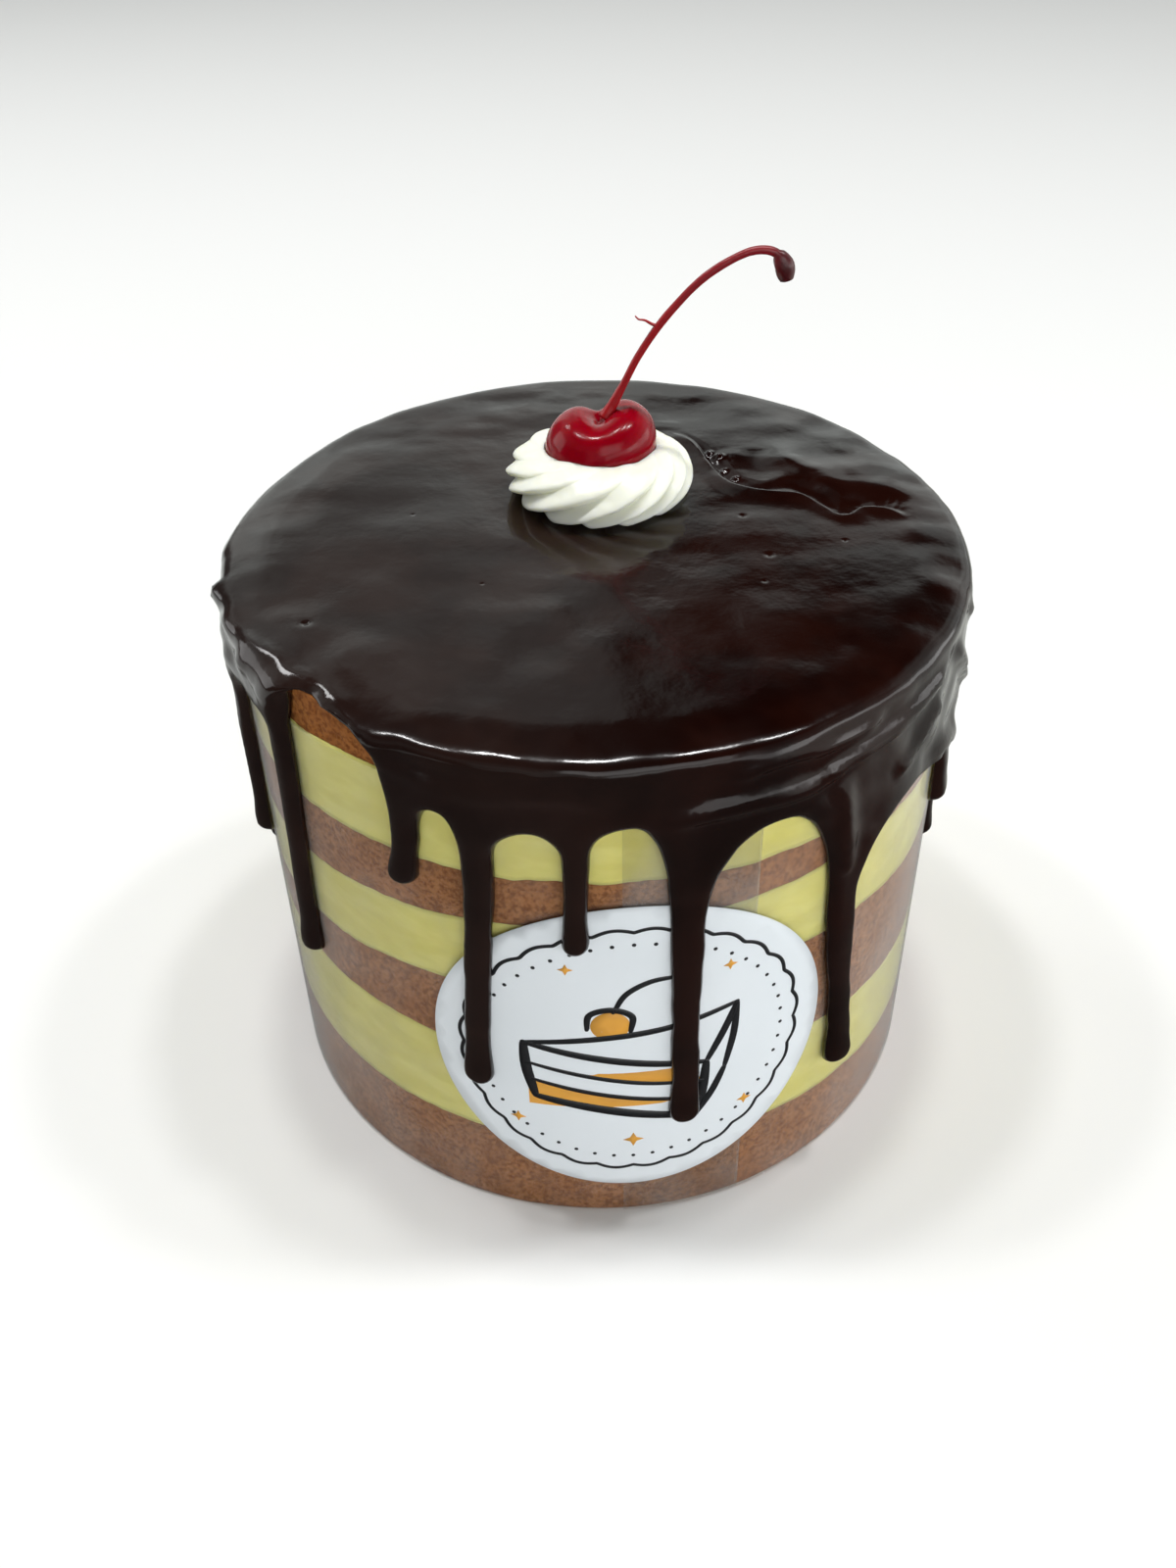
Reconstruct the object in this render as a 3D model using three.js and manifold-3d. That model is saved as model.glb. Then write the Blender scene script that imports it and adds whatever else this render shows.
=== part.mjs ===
// A tall round Boston cream cake. Four sponge layers and three of pastry cream stand in a clear
// collar with a round label on it. A chocolate glaze covers the top and runs down outside the collar
// in drips, and a piped rosette of cream carries a stemmed cherry.
//
// Millimetres, +Z up. The origin is the middle of the cake's underside, and the label faces -Y.
// Angles go round the Z axis in degrees from the front, -Y, and grow towards +X.

import * as THREE from "three";
import Module from "manifold-3d";

const wasm = await Module();
wasm.setup();

// ---- Driving dimensions ----

const CAKE_RADIUS = 74.4;
const CAKE_TOP = 125;
const LAYER_GAP = 0.15; // between one layer and the next
const LAYER_COLUMNS = 72;
const WELD = 0.02; // points of a joined solid closer than this become one

// Where one layer ends and the next begins, from the bottom up. The layers aren't level: the height
// at the rim is height + lean * cos(angle - towards).
const LAYER_EDGES = [
  { height: 20.5, lean: 4, towards: -50 },
  { height: 44.6, lean: 6.4, towards: -60 },
  { height: 65, lean: 5.4, towards: 40 },
  { height: 84, lean: 5.6, towards: 60 },
  { height: 96.6, lean: 1, towards: -20 },
  { height: 115.2, lean: 0.8, towards: -60 },
];

const COLLAR = { inside: 74.6, thickness: 0.2, foot: 0.4, top: 115.9, columns: 120 };
const COLLAR_SEAM = { angle: 3, overlap: 20, lift: 0.35, ramp: 10 };

const LABEL = { angle: 4.6, height: 51.4, radius: 41, inside: 75.3, thickness: 0.2, strips: 40 };

const GLAZE_INSIDE = 75.7; // clears the label
const GLAZE_SKIRT = 1.3; // thickness high on the side
const GLAZE_UNDERSIDE = CAKE_TOP + 0.2;
const GLAZE_TOP = 127.2;
const GLAZE_RIM = 3; // radius of the rounded rim
const GLAZE_SAG = 0.5; // how far the top falls towards the rim
const GLAZE_WAVE = { height: 0.35, acrossX: 15, acrossY: 18 }; // the top's slow swell
const GLAZE_LEVEL = { inside: 24, outside: 40 }; // no swell within, all of it beyond, from the rosette
const HIGHEST_FREE_EDGE = 123.4;

// The thick bead along a free edge, where the skirt is tall enough for one.
const BEAD = { thickness: 2, lip: 0.5, lipShare: 0.75, fullAt: 0.18, tallEnough: 6 };
const TOP_RINGS = [30, 55]; // radii of the rows on the top
const RIM_TURNS = [70, 35, 5]; // where the rows round the rim lie, from level
const ARCH = { roundness: 2.2, columnSpan: 2.6, fewestColumns: 5 };

// Each drip, round from the left: the angle where it leaves the skirt and how far its tip strays
// from there, the heights of that root and of the tip, and the width. crown is the top of the arch
// between this drip and the next. Where it lies above the rim, the sponge shows.
const SEEN_DRIPS = [
  { angle: -70, stray: -1, root: 103, tip: 69.5, width: 6.2, crown: 114.5 },
  { angle: -51.5, stray: -2, root: 113, tip: 53, width: 6.3, crown: 129 },
  { angle: -27.7, stray: -1.2, root: 104, tip: 91.5, width: 5.9, crown: 111.5 },
  { angle: -17, stray: -2.4, root: 102, tip: 41, width: 6.3, crown: 109.5 },
  { angle: -3.2, stray: -0.4, root: 104, tip: 81.5, width: 5.2, crown: 111.4 },
  { angle: 12.2, stray: 0.4, root: 84, tip: 30.5, width: 6.6, crown: 106.8 },
  { angle: 38.4, stray: 3.2, root: 76, tip: 28.5, width: 7.4, crown: 95.5 },
  { angle: 68, stray: 1, root: 92, tip: 77, width: 6.2, crown: 100 },
];

// The drips on the far side carry on at about the same spacing. Each of their values is a middle one
// plus a swing that changes from drip to drip, so that no two are alike.
const HIDDEN_DRIPS = {
  count: 10,
  spacing: 20.2,
  angle: { middle: 87, swing: 2.5, pace: 1.7, start: 0 },
  stray: { middle: 0, swing: 1.2, pace: 2.3, start: 0 },
  root: { middle: 96, swing: 7, pace: 1.3, start: 0.5 },
  tip: { middle: 60, swing: -22, pace: 2.1, start: 0.6 },
  width: { middle: 6.2, swing: 0.7, pace: 3.3, start: 1 },
  crown: { middle: 109, swing: 4, pace: 2.6, start: 2 },
};

// A drip's form. Widths are shares of its width at the skirt, and the drop is its round end.
const DRIP = {
  back: GLAZE_INSIDE + 0.1,
  sides: [30, 70, 110, 150], // where the points on the round outside lie
  overlap: { rise: 5, width: 0.9, depth: 1.1 }, // the row inside the skirt
  root: { fall: 0.4, width: 1.03 },
  run: { width: 0.94, depth: 2.4, rowHeight: 16, fewestRows: 2 },
  drop: { height: 0.75, width: 1.04, depth: 2.6, tipDepth: 0.3, turns: [0, 35, 62, 82] },
};

const ROSETTE = {
  x: 1.2,
  y: 17.5,
  ringRadius: 10.5,
  ringHeight: 4.2,
  halfWidth: 9.4,
  halfHeight: 6.4,
  startTurn: -41, // of the section, from straight out and anticlockwise
  endTurn: 150,
  rows: 10,
  ridges: 12,
  columnsPerRidge: 6,
  ridgeRoundness: 0.8, // the lower, the broader a ridge's back and the narrower its grooves
  grooveDepth: 0.17,
  twist: 115, // how far a ridge winds round from the bottom to the top
  lean: 0.04, // how much higher it stands on its high side
  highSide: 180,
  floor: 0.4, // how high the middle lies, as a share of halfHeight above ringHeight
};
const ROSETTE_CLEARANCE = 0.3; // to the glaze under it and to the cherry
const ROSETTE_BASE = GLAZE_TOP + ROSETTE_CLEARANCE;

const CHERRY = {
  x: 1.5,
  y: 17.5,
  z: 137.8,
  halfWidth: 11.4,
  halfDepth: 11.2,
  halfHeight: 9.2,
  lean: 0.12, // how much higher it lies towards +x
  seamDepth: 0.24, // as a share of the radius
  seamWidth: 0.31,
  seamOffset: -0.035,
  dimpleDepth: 0.2,
  dimpleTurn: 23,
  seamEnd: { front: [30, 75], back: [60, 110] }, // the seam fades between these, from the top
  columns: 28,
  rows: 13,
};

// The stem's middle line in the upright plane through the cherry, from its foot in the dimple.
const STEM_LINE = [
  [2.9, 146.0],
  [5.9, 150],
  [9.8, 157.6],
  [15.3, 165.5],
  [23.1, 173.3],
  [31.3, 177.6],
  [35.6, 177.3],
  [37.4, 174.9],
  [38.3, 171.9],
];

// Half the stem's thickness, and the shares of its length where each stretch of it ends.
const STEM = { foot: 1.4, middle: 0.78, neck: 0.95, knob: 2, sides: 8, steps: 30 };
const STEM_ENDS = { foot: 0.12, middle: 0.8, neck: 0.9 };
const KNOB_ARC = { from: 15, to: 160 }; // the part of a half circle that the knob's outline follows

const degrees = THREE.MathUtils.degToRad;
const cosine = (angle) => Math.cos(degrees(angle));
const sine = (angle) => Math.sin(degrees(angle));
const { clamp, lerp, radToDeg, smoothstep } = THREE.MathUtils;

// ---- Closed surfaces ----

/** The point at an angle round from the front, a radius and a height. */
function around(angle, radius, height) {
  return [radius * sine(angle), -radius * cosine(angle), height];
}

function geometryOf(points, faces) {
  const geometry = new THREE.BufferGeometry();
  geometry.setAttribute("position", new THREE.Float32BufferAttribute(points.flat(), 3));
  geometry.setIndex(faces.flat());
  geometry.computeVertexNormals();
  return geometry;
}

/**
 * A closed surface round the Z axis. profile(angle) gives [radius, height, turn] rows from the top
 * of the axis, out and down to the bottom of the axis; turn moves a row round from its angle. The
 * first and last rows are the same at every angle.
 */
function roundSolid(angles, profile) {
  const profiles = angles.map(profile);
  const last = profiles[0].length - 1;
  const points = [[0, 0, profiles[0][0][1]]];
  angles.forEach((angle, column) => {
    for (let row = 1; row < last; row++) {
      const [radius, height, turn = 0] = profiles[column][row];
      points.push(around(angle + turn, radius, height));
    }
  });
  points.push([0, 0, profiles[0][last][1]]);
  const vertex = (column, row) => {
    if (row === 0) return 0;
    if (row === last) return points.length - 1;
    return 1 + (column % angles.length) * (last - 1) + row - 1;
  };
  const faces = [];
  for (let column = 0; column < angles.length; column++) {
    for (let row = 0; row < last; row++) {
      const [a, b] = [vertex(column, row), vertex(column + 1, row)];
      const [d, c] = [vertex(column, row + 1), vertex(column + 1, row + 1)];
      if (row < last - 1) faces.push([a, d, c]);
      if (row > 0) faces.push([a, c, b]);
    }
  }
  return geometryOf(points, faces);
}

/**
 * A closed tube through rings of points, with a flat cap at each end. The rings run anticlockwise
 * seen from the end the tube runs towards.
 */
function tubeSolid(rings) {
  const size = rings[0].length;
  const faces = [];
  for (let row = 0; row + 1 < rings.length; row++) {
    for (let side = 0; side < size; side++) {
      const [a, b] = [row * size + side, row * size + ((side + 1) % size)];
      faces.push([a, b, b + size], [a, b + size, a + size]);
    }
  }
  const end = (rings.length - 1) * size;
  for (let side = 1; side + 1 < size; side++) {
    faces.push([0, side + 1, side], [end, end + side, end + side + 1]);
  }
  return geometryOf(rings.flat(), faces);
}

const evenAngles = (count) => Array.from({ length: count }, (_, i) => (360 * i) / count);

// ---- Cutting and joining ----

function toManifold(geometry) {
  const mesh = new wasm.Mesh({
    numProp: 3,
    vertProperties: new Float32Array(geometry.attributes.position.array),
    triVerts: new Uint32Array(geometry.index.array),
  });
  return new wasm.Manifold(mesh);
}

function fromManifold(solid) {
  const mesh = solid.getMesh();
  const geometry = new THREE.BufferGeometry();
  geometry.setAttribute("position", new THREE.BufferAttribute(mesh.vertProperties, 3));
  geometry.setIndex(new THREE.BufferAttribute(mesh.triVerts, 1));
  geometry.computeVertexNormals();
  return geometry;
}

/** The outside of a joined solid, which leaves out any tiny hollow that the joining sealed. */
function outside(solid) {
  return solid.decompose().reduce((most, part) => (part.volume() > most.volume() ? part : most));
}

// ---- Sponge and cream layers ----

/** The layer between two edges, counted from 0 at the bottom. */
function layerGeometry(number) {
  const below = LAYER_EDGES[number - 1];
  const above = LAYER_EDGES[number];
  const rim = (edge, angle) => edge.height + edge.lean * cosine(angle - edge.towards);
  return roundSolid(evenAngles(LAYER_COLUMNS), (angle) => [
    [0, above ? above.height : CAKE_TOP],
    [CAKE_RADIUS, above ? rim(above, angle) : CAKE_TOP],
    [CAKE_RADIUS, below ? rim(below, angle) + LAYER_GAP : 0],
    [0, below ? below.height + LAYER_GAP : 0],
  ]);
}

// ---- The clear collar: a strip wound once round, its end lapped over its start ----

function collarGeometry() {
  const { angle: seam, overlap, lift, ramp } = COLLAR_SEAM;
  const length = 360 + overlap;
  const steps = Math.round((COLLAR.columns * length) / 360);
  const rings = [];
  for (let i = 0; i <= steps; i++) {
    const along = (length * i) / steps;
    const inner = COLLAR.inside + lift * (1 - smoothstep(along, overlap, overlap + ramp));
    const outer = inner + COLLAR.thickness;
    rings.push([
      around(seam + along, inner, COLLAR.foot),
      around(seam + along, inner, COLLAR.top),
      around(seam + along, outer, COLLAR.top),
      around(seam + along, outer, COLLAR.foot),
    ]);
  }
  return tubeSolid(rings);
}

// ---- The round label, bent to the collar ----

function labelGeometry() {
  const { angle, height, radius, inside, thickness, strips } = LABEL;
  const outside = inside + thickness;
  const rings = [];
  for (let i = 0; i <= strips; i++) {
    const turn = (180 * i) / strips;
    const up = Math.max(radius * sine(turn), thickness);
    const place = angle - radToDeg((radius * cosine(turn)) / inside);
    rings.push([
      around(place, inside, height - up),
      around(place, inside, height + up),
      around(place, outside, height + up),
      around(place, outside, height - up),
    ]);
  }
  return tubeSolid(rings);
}

// ---- The chocolate glaze ----

/** The drip of a number on the far side. */
function hiddenDrip(number) {
  const varied = ({ middle, swing, pace, start }) => middle + swing * Math.sin(pace * number + start);
  const { spacing, angle, stray, root, tip, width, crown } = HIDDEN_DRIPS;
  return {
    angle: varied(angle) + spacing * number,
    stray: varied(stray),
    root: varied(root),
    tip: varied(tip),
    width: varied(width),
    crown: varied(crown),
  };
}

function allDrips() {
  const hidden = Array.from({ length: HIDDEN_DRIPS.count }, (_, number) => hiddenDrip(number));
  return [...SEEN_DRIPS, ...hidden];
}

/** Half of a drip's width, as an angle. */
const halfSpan = (drip) => radToDeg(drip.width / 2 / GLAZE_INSIDE);

/** The height of the skirt's free edge in the arch between two drips. across goes from -1 to 1. */
function archEdge(left, right, across) {
  const root = across < 0 ? left.root : right.root;
  const rise = (1 - Math.abs(across) ** ARCH.roundness) ** (1 / ARCH.roundness);
  return Math.min(lerp(root, left.crown, rise), HIGHEST_FREE_EDGE);
}

/** The columns of the skirt: the angle of each, and the height of its free edge. */
function skirtColumns(drips) {
  const columns = [];
  drips.forEach((left, number) => {
    const right = drips[(number + 1) % drips.length];
    const start = left.angle + halfSpan(left);
    const wrap = number === drips.length - 1 ? 360 : 0;
    const end = right.angle + wrap - halfSpan(right);
    const steps = Math.max(ARCH.fewestColumns, Math.ceil((end - start) / ARCH.columnSpan));
    for (let i = 0; i <= steps; i++) {
      const across = -cosine((180 * i) / steps);
      const angle = lerp(start, end, (across + 1) / 2);
      columns.push({ angle, edge: archEdge(left, right, across) });
    }
  });
  return columns;
}

/** The glaze's upper surface, which falls a little towards the rim and is level at the rosette. */
function glazeHeight(angle, radius) {
  const [x, y] = around(angle, radius, 0);
  const fromRosette = Math.hypot(x - ROSETTE.x, y - ROSETTE.y);
  const clear = smoothstep(fromRosette, GLAZE_LEVEL.inside, GLAZE_LEVEL.outside);
  const { height, acrossX, acrossY } = GLAZE_WAVE;
  const wave = height * Math.sin(x / acrossX + 1) * Math.cos(y / acrossY);
  const sag = GLAZE_SAG * (radius / GLAZE_INSIDE) ** 4;
  return GLAZE_TOP + clear * wave - sag;
}

/** A cut through the skirt: over the top and the rim, down the outside and back up the inside. */
function skirtProfile({ angle, edge }) {
  const outside = GLAZE_INSIDE + GLAZE_SKIRT;
  const shoulder = glazeHeight(angle, outside) - GLAZE_RIM;
  const rimRow = (turn) => [
    outside - GLAZE_RIM * (1 - cosine(turn)),
    shoulder + GLAZE_RIM * sine(turn),
  ];
  const lip = edge + BEAD.lip;
  const bead = shoulder - lip > BEAD.tallEnough ? BEAD.thickness : GLAZE_SKIRT;
  return [
    [0, GLAZE_TOP],
    ...TOP_RINGS.map((radius) => [radius, glazeHeight(angle, radius)]),
    ...RIM_TURNS.map(rimRow),
    [GLAZE_INSIDE + (GLAZE_SKIRT + bead) / 2, lerp(lip, shoulder, 0.5)],
    [GLAZE_INSIDE + bead, lerp(lip, shoulder, BEAD.fullAt)],
    [GLAZE_INSIDE + bead * BEAD.lipShare, lip],
    [GLAZE_INSIDE, edge],
    [GLAZE_INSIDE, GLAZE_UNDERSIDE],
    [0, GLAZE_UNDERSIDE],
  ];
}

function skirtGeometry(columns) {
  const byAngle = new Map(columns.map((column) => [column.angle, column]));
  return roundSolid([...byAngle.keys()], (angle) => skirtProfile(byAngle.get(angle)));
}

/** A level ring of a drip: flat against the collar and round outside. */
function dripRing(drip, height, halfWidth, depth) {
  const fallen = clamp((drip.root - height) / (drip.root - drip.tip), 0, 1);
  const middle = drip.angle + drip.stray * fallen;
  const ring = [
    [-halfWidth, 0],
    [0, 0],
    [halfWidth, 0],
  ];
  for (const turn of DRIP.sides) {
    ring.push([halfWidth * cosine(turn), depth * sine(turn)]);
  }
  return ring.map(([across, out]) =>
    around(middle + radToDeg(across / DRIP.back), DRIP.back + out, height),
  );
}

/** One drip, from inside the skirt down to the full drop at its tip. */
function dripGeometry(drip) {
  const { overlap, root, run, drop } = DRIP;
  const half = drip.width / 2;
  const dropHeight = drip.width * drop.height;
  const rows = Math.max(run.fewestRows, Math.round((drip.root - drip.tip) / run.rowHeight));
  const rings = [dripRing(drip, drip.root + overlap.rise, half * overlap.width, overlap.depth)];
  for (let i = 0; i <= rows; i++) {
    const height = lerp(drip.root - root.fall, drip.tip + 2 * dropHeight, i / rows);
    rings.push(dripRing(drip, height, half * (i === 0 ? root.width : run.width), run.depth));
  }
  for (const turn of drop.turns) {
    const height = drip.tip + dropHeight * (1 - sine(turn));
    const depth = drop.tipDepth + drop.depth * cosine(turn);
    rings.push(dripRing(drip, height, half * drop.width * cosine(turn), depth));
  }
  return tubeSolid(rings);
}

function glazeGeometry() {
  const drips = allDrips();
  const skirt = toManifold(skirtGeometry(skirtColumns(drips)));
  const joined = drips.reduce((solid, drip) => solid.add(toManifold(dripGeometry(drip))), skirt);
  return fromManifold(outside(joined.simplify(WELD)));
}

// ---- The cherry, its stem and the rosette that holds it ----

/** How much of its radius a cherry loses to the seam and the dimple, by its direction. */
function cherryHollow(angle, turn) {
  const offset = (sine(turn) * sine(angle) - CHERRY.seamOffset) / CHERRY.seamWidth;
  const { front, back } = CHERRY.seamEnd;
  const towardsBack = (1 - cosine(angle)) / 2;
  const [start, end] = front.map((value, i) => lerp(value, back[i], towardsBack));
  const seam = CHERRY.seamDepth * Math.exp(-(offset ** 2)) * (1 - smoothstep(turn, start, end));
  return seam + CHERRY.dimpleDepth * Math.exp(-((turn / CHERRY.dimpleTurn) ** 2));
}

/** The form of the cherry, grown all round by a margin, less the hollow at each direction. */
function cherryForm(margin, hollow) {
  const { halfWidth, halfDepth, halfHeight, lean, columns, rows } = CHERRY;
  const upright = roundSolid(evenAngles(columns), (angle) => {
    const across = Math.hypot(
      (halfWidth + margin) * sine(angle),
      (halfDepth + margin) * cosine(angle),
    );
    return Array.from({ length: rows + 1 }, (_, row) => {
      const turn = (180 * row) / rows;
      const share = 1 - hollow(angle, turn);
      return [across * sine(turn) * share, (halfHeight + margin) * cosine(turn) * share];
    });
  });
  return upright.applyMatrix4(new THREE.Matrix4().makeShear(0, lean, 0, 0, 0, 0));
}

const cherryGeometry = () => cherryForm(0, cherryHollow);

/** Half the stem's thickness at a share of its length: a foot, a slender run, a neck and a knob. */
function stemThickness(share) {
  const { foot, middle, neck, knob } = STEM;
  const ends = STEM_ENDS;
  if (share < ends.foot) return lerp(foot, middle, share / ends.foot);
  if (share < ends.middle) return middle;
  if (share < ends.neck) {
    return lerp(middle, neck, (share - ends.middle) / (ends.neck - ends.middle));
  }
  const turn = lerp(KNOB_ARC.from, KNOB_ARC.to, (share - ends.neck) / (1 - ends.neck));
  return lerp(neck, knob, sine(turn));
}

function stemGeometry() {
  const points = STEM_LINE.map(([x, z]) => new THREE.Vector3(x, CHERRY.y, z));
  const line = new THREE.CatmullRomCurve3(points, false, "centripetal");
  const across = new THREE.Vector3(0, 1, 0);
  const rings = [];
  for (let i = 0; i <= STEM.steps; i++) {
    const share = i / STEM.steps;
    const middle = line.getPointAt(share);
    const upright = across.clone().cross(line.getTangentAt(share)).normalize();
    const thickness = stemThickness(share);
    const ring = evenAngles(STEM.sides).map((turn) =>
      middle
        .clone()
        .addScaledVector(across, -thickness * cosine(turn))
        .addScaledVector(upright, thickness * sine(turn))
        .toArray(),
    );
    rings.push(ring);
  }
  return tubeSolid(rings);
}

/** A ring of cream piped through a star nozzle, whose ridges wind upwards as they go round. */
function pipedRingGeometry() {
  const { ringRadius, ringHeight, halfWidth, halfHeight, startTurn, endTurn, rows } = ROSETTE;
  const { ridges, columnsPerRidge, ridgeRoundness, grooveDepth } = ROSETTE;
  const { twist, lean, highSide, floor } = ROSETTE;
  return roundSolid(evenAngles(ridges * columnsPerRidge), (angle) => {
    const ridge = Math.abs(sine((ridges / 2) * angle)) ** ridgeRoundness;
    const size = 1 - grooveDepth * (1 - ridge);
    const profile = [[0, ringHeight + halfHeight * floor]];
    for (let row = rows; row >= 0; row--) {
      const share = row / rows;
      const turn = lerp(startTurn, endTurn, share);
      const wind = twist * share;
      const rise = 1 + lean * cosine(angle + wind - highSide);
      const height = row === 0 ? 0 : rise * (ringHeight + halfHeight * size * sine(turn));
      profile.push([ringRadius + halfWidth * size * cosine(turn), Math.max(height, 0), wind]);
    }
    profile.push([0, 0]);
    return profile;
  });
}

/** The piped ring, with the seat that the cherry has pressed into it. */
function rosetteGeometry() {
  const seat = cherryForm(ROSETTE_CLEARANCE, () => 0).translate(
    CHERRY.x - ROSETTE.x,
    CHERRY.y - ROSETTE.y,
    CHERRY.z - ROSETTE_BASE,
  );
  return fromManifold(toManifold(pipedRingGeometry()).subtract(toManifold(seat)));
}

// ---- Materials ----

function material(color, roughness, extras = {}) {
  return new THREE.MeshStandardMaterial({ color, roughness, metalness: 0, ...extras });
}

const spongeMaterial = material(0x9a6238, 0.9);
const creamMaterial = material(0xd9cf7c, 0.45);
const collarMaterial = material(0xf4f6f8, 0.05, { transparent: true, opacity: 0.15 });
const labelMaterial = material(0xe6eaee, 0.5);
const glazeMaterial = material(0x2a1512, 0.15);
const whippedMaterial = material(0xf6f4e6, 0.5);
const cherryMaterial = material(0x9c0a1c, 0.08);
const stemMaterial = material(0x7c0c16, 0.35);

// ---- The cake ----

const cake = new THREE.Group();

function add(name, geometry, surface, x = 0, y = 0, z = 0) {
  const mesh = new THREE.Mesh(geometry, surface);
  mesh.name = name;
  mesh.position.set(x, y, z);
  cake.add(mesh);
}

for (let number = 0; number <= LAYER_EDGES.length; number++) {
  const fromBottom = Math.floor(number / 2) + 1;
  if (number % 2 === 0) add(`sponge_${fromBottom}`, layerGeometry(number), spongeMaterial);
  else add(`pastry_cream_${fromBottom}`, layerGeometry(number), creamMaterial);
}
add("collar", collarGeometry(), collarMaterial);
add("label", labelGeometry(), labelMaterial);
add("glaze", glazeGeometry(), glazeMaterial);
add("rosette", rosetteGeometry(), whippedMaterial, ROSETTE.x, ROSETTE.y, ROSETTE_BASE);
add("cherry", cherryGeometry(), cherryMaterial, CHERRY.x, CHERRY.y, CHERRY.z);
add("cherry_stem", stemGeometry(), stemMaterial);

export default cake;
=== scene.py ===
"""A tall round Boston cream cake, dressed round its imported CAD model.

Lengths are in millimetres until a mesh is made. Angles go round the cake from the front, -Y, towards
+X, in degrees. The camera stands where the photograph was taken from.
"""

import functools
import itertools
import math

import bpy
import numpy as np
from mathutils import Matrix, Vector
from mathutils.geometry import delaunay_2d_cdt
from mathutils.kdtree import KDTree


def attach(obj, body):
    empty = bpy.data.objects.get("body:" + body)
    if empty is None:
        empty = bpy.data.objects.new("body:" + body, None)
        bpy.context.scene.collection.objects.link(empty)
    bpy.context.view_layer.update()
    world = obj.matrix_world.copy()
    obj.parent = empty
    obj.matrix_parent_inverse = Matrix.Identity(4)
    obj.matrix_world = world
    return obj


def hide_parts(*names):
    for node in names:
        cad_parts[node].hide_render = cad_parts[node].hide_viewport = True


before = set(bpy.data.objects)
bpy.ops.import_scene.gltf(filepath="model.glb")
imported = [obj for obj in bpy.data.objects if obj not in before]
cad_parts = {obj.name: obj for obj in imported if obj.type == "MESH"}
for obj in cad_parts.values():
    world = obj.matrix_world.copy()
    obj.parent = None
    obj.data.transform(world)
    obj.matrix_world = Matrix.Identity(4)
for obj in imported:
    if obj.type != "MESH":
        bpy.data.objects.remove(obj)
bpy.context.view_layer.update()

MM = 0.001

# ---- The cake's dimensions, as in the CAD model ----

CAKE_RADIUS = 74.4
CAKE_TOP = 125.0

# Where one layer ends and the next begins, from the bottom up: the height at the rim is
# height + lean * cos(angle - towards).
LAYER_EDGES = [
    dict(height=20.5, lean=4.0, towards=-50),
    dict(height=44.6, lean=6.4, towards=-60),
    dict(height=65.0, lean=5.4, towards=40),
    dict(height=84.0, lean=5.6, towards=60),
    dict(height=96.6, lean=1.0, towards=-20),
    dict(height=115.2, lean=0.8, towards=-60),
]

COLLAR = dict(inside=74.6, thickness=0.2, foot=0.4, top=115.9)
SEAM = dict(angle=3, overlap=20, lift=0.35, ramp=10)
LABEL = dict(angle=4.6, height=51.4, radius=41)

GLAZE_INSIDE = 75.7
GLAZE_TOP = 127.2
GLAZE_UNDERSIDE = 125.15

SEEN_DRIPS = [
    dict(angle=-70, stray=-1, root=103, tip=69.5, width=6.2, crown=114.5),
    dict(angle=-51.5, stray=-2, root=113, tip=53, width=6.3, crown=131),
    dict(angle=-27.7, stray=-1.2, root=104, tip=91.5, width=5.9, crown=111.5),
    dict(angle=-17, stray=-2.4, root=102, tip=41, width=6.3, crown=109.5),
    dict(angle=-3.2, stray=-0.4, root=104, tip=81.5, width=5.2, crown=111.4),
    dict(angle=12.2, stray=0.4, root=84, tip=30.5, width=6.6, crown=106.8),
    dict(angle=38.4, stray=3.2, root=76, tip=28.5, width=7.4, crown=95.5),
    dict(angle=68, stray=1, root=92, tip=77, width=6.2, crown=100),
]

# The drips on the far side. Each of their values is a middle one plus a swing that changes from drip
# to drip: (middle, swing, pace, start).
HIDDEN_DRIPS = 10
HIDDEN_SPACING = 20.2
HIDDEN_VALUES = dict(
    angle=(87, 2.5, 1.7, 0),
    stray=(0, 1.2, 2.3, 0),
    root=(96, 7, 1.3, 0.5),
    tip=(60, -22, 2.1, 0.6),
    width=(6.2, 0.7, 3.3, 1),
    crown=(109, 4, 2.6, 2),
)

ROSETTE_BASE = np.array([1.2, 17.2, 127.5])
ROSETTE = dict(
    ring_radius=10.5, ring_height=4.2, half_width=9.4, half_height=6.0, start_turn=-41, end_turn=150,
    ridges=12, low_groove=0.29, high_groove=0.03, twist=135, lean=0.07,
)
CHERRY_MIDDLE = np.array([1.5, 17.5, 137.8])
CHERRY_HALF = np.array([11.7, 11.2, 9.2])  # half its width, depth and height
CHERRY = dict(
    lean=0.12, fullness=0.04, seam_depth=0.26, seam_width=0.31, seam_offset=-0.035, dimple_depth=0.2,
    dimple_turn=23,
)
STEM_LINE = [
    (2.7, 143.8), (5.9, 150.0), (9.8, 157.6), (15.3, 165.5), (23.1, 173.3),
    (31.3, 177.55), (35.6, 177.25), (37.4, 174.9), (38.3, 171.9),
]
STEM_SHARES = (0, 0.05, 0.14, 0.8, 0.9)
STEM_THICKNESS = (1.5, 1.1, 0.8, 0.76, 0.92)  # half its width at those shares of its length
STEM_KNOB = 1.05  # how much the knob at its end adds to that
FIBRE_LINE = [(13.4, 163.0), (12.0, 163.5), (10.6, 164.3), (9.4, 164.5), (8.7, 165.2)]
FIBRE_THICKNESS = (0.4, 0.14)

# ---- Numbers and noise ----


def cosine(angle):
    return np.cos(np.radians(angle))


def sine(angle):
    return np.sin(np.radians(angle))


def full_turn(count):
    """Evenly spaced angles all the way round, from 0."""
    return np.arange(count) * 360 / count


def smoothstep(value, low, high):
    share = np.clip((value - low) / (high - low), 0, 1)
    return share * share * (3 - 2 * share)


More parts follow.
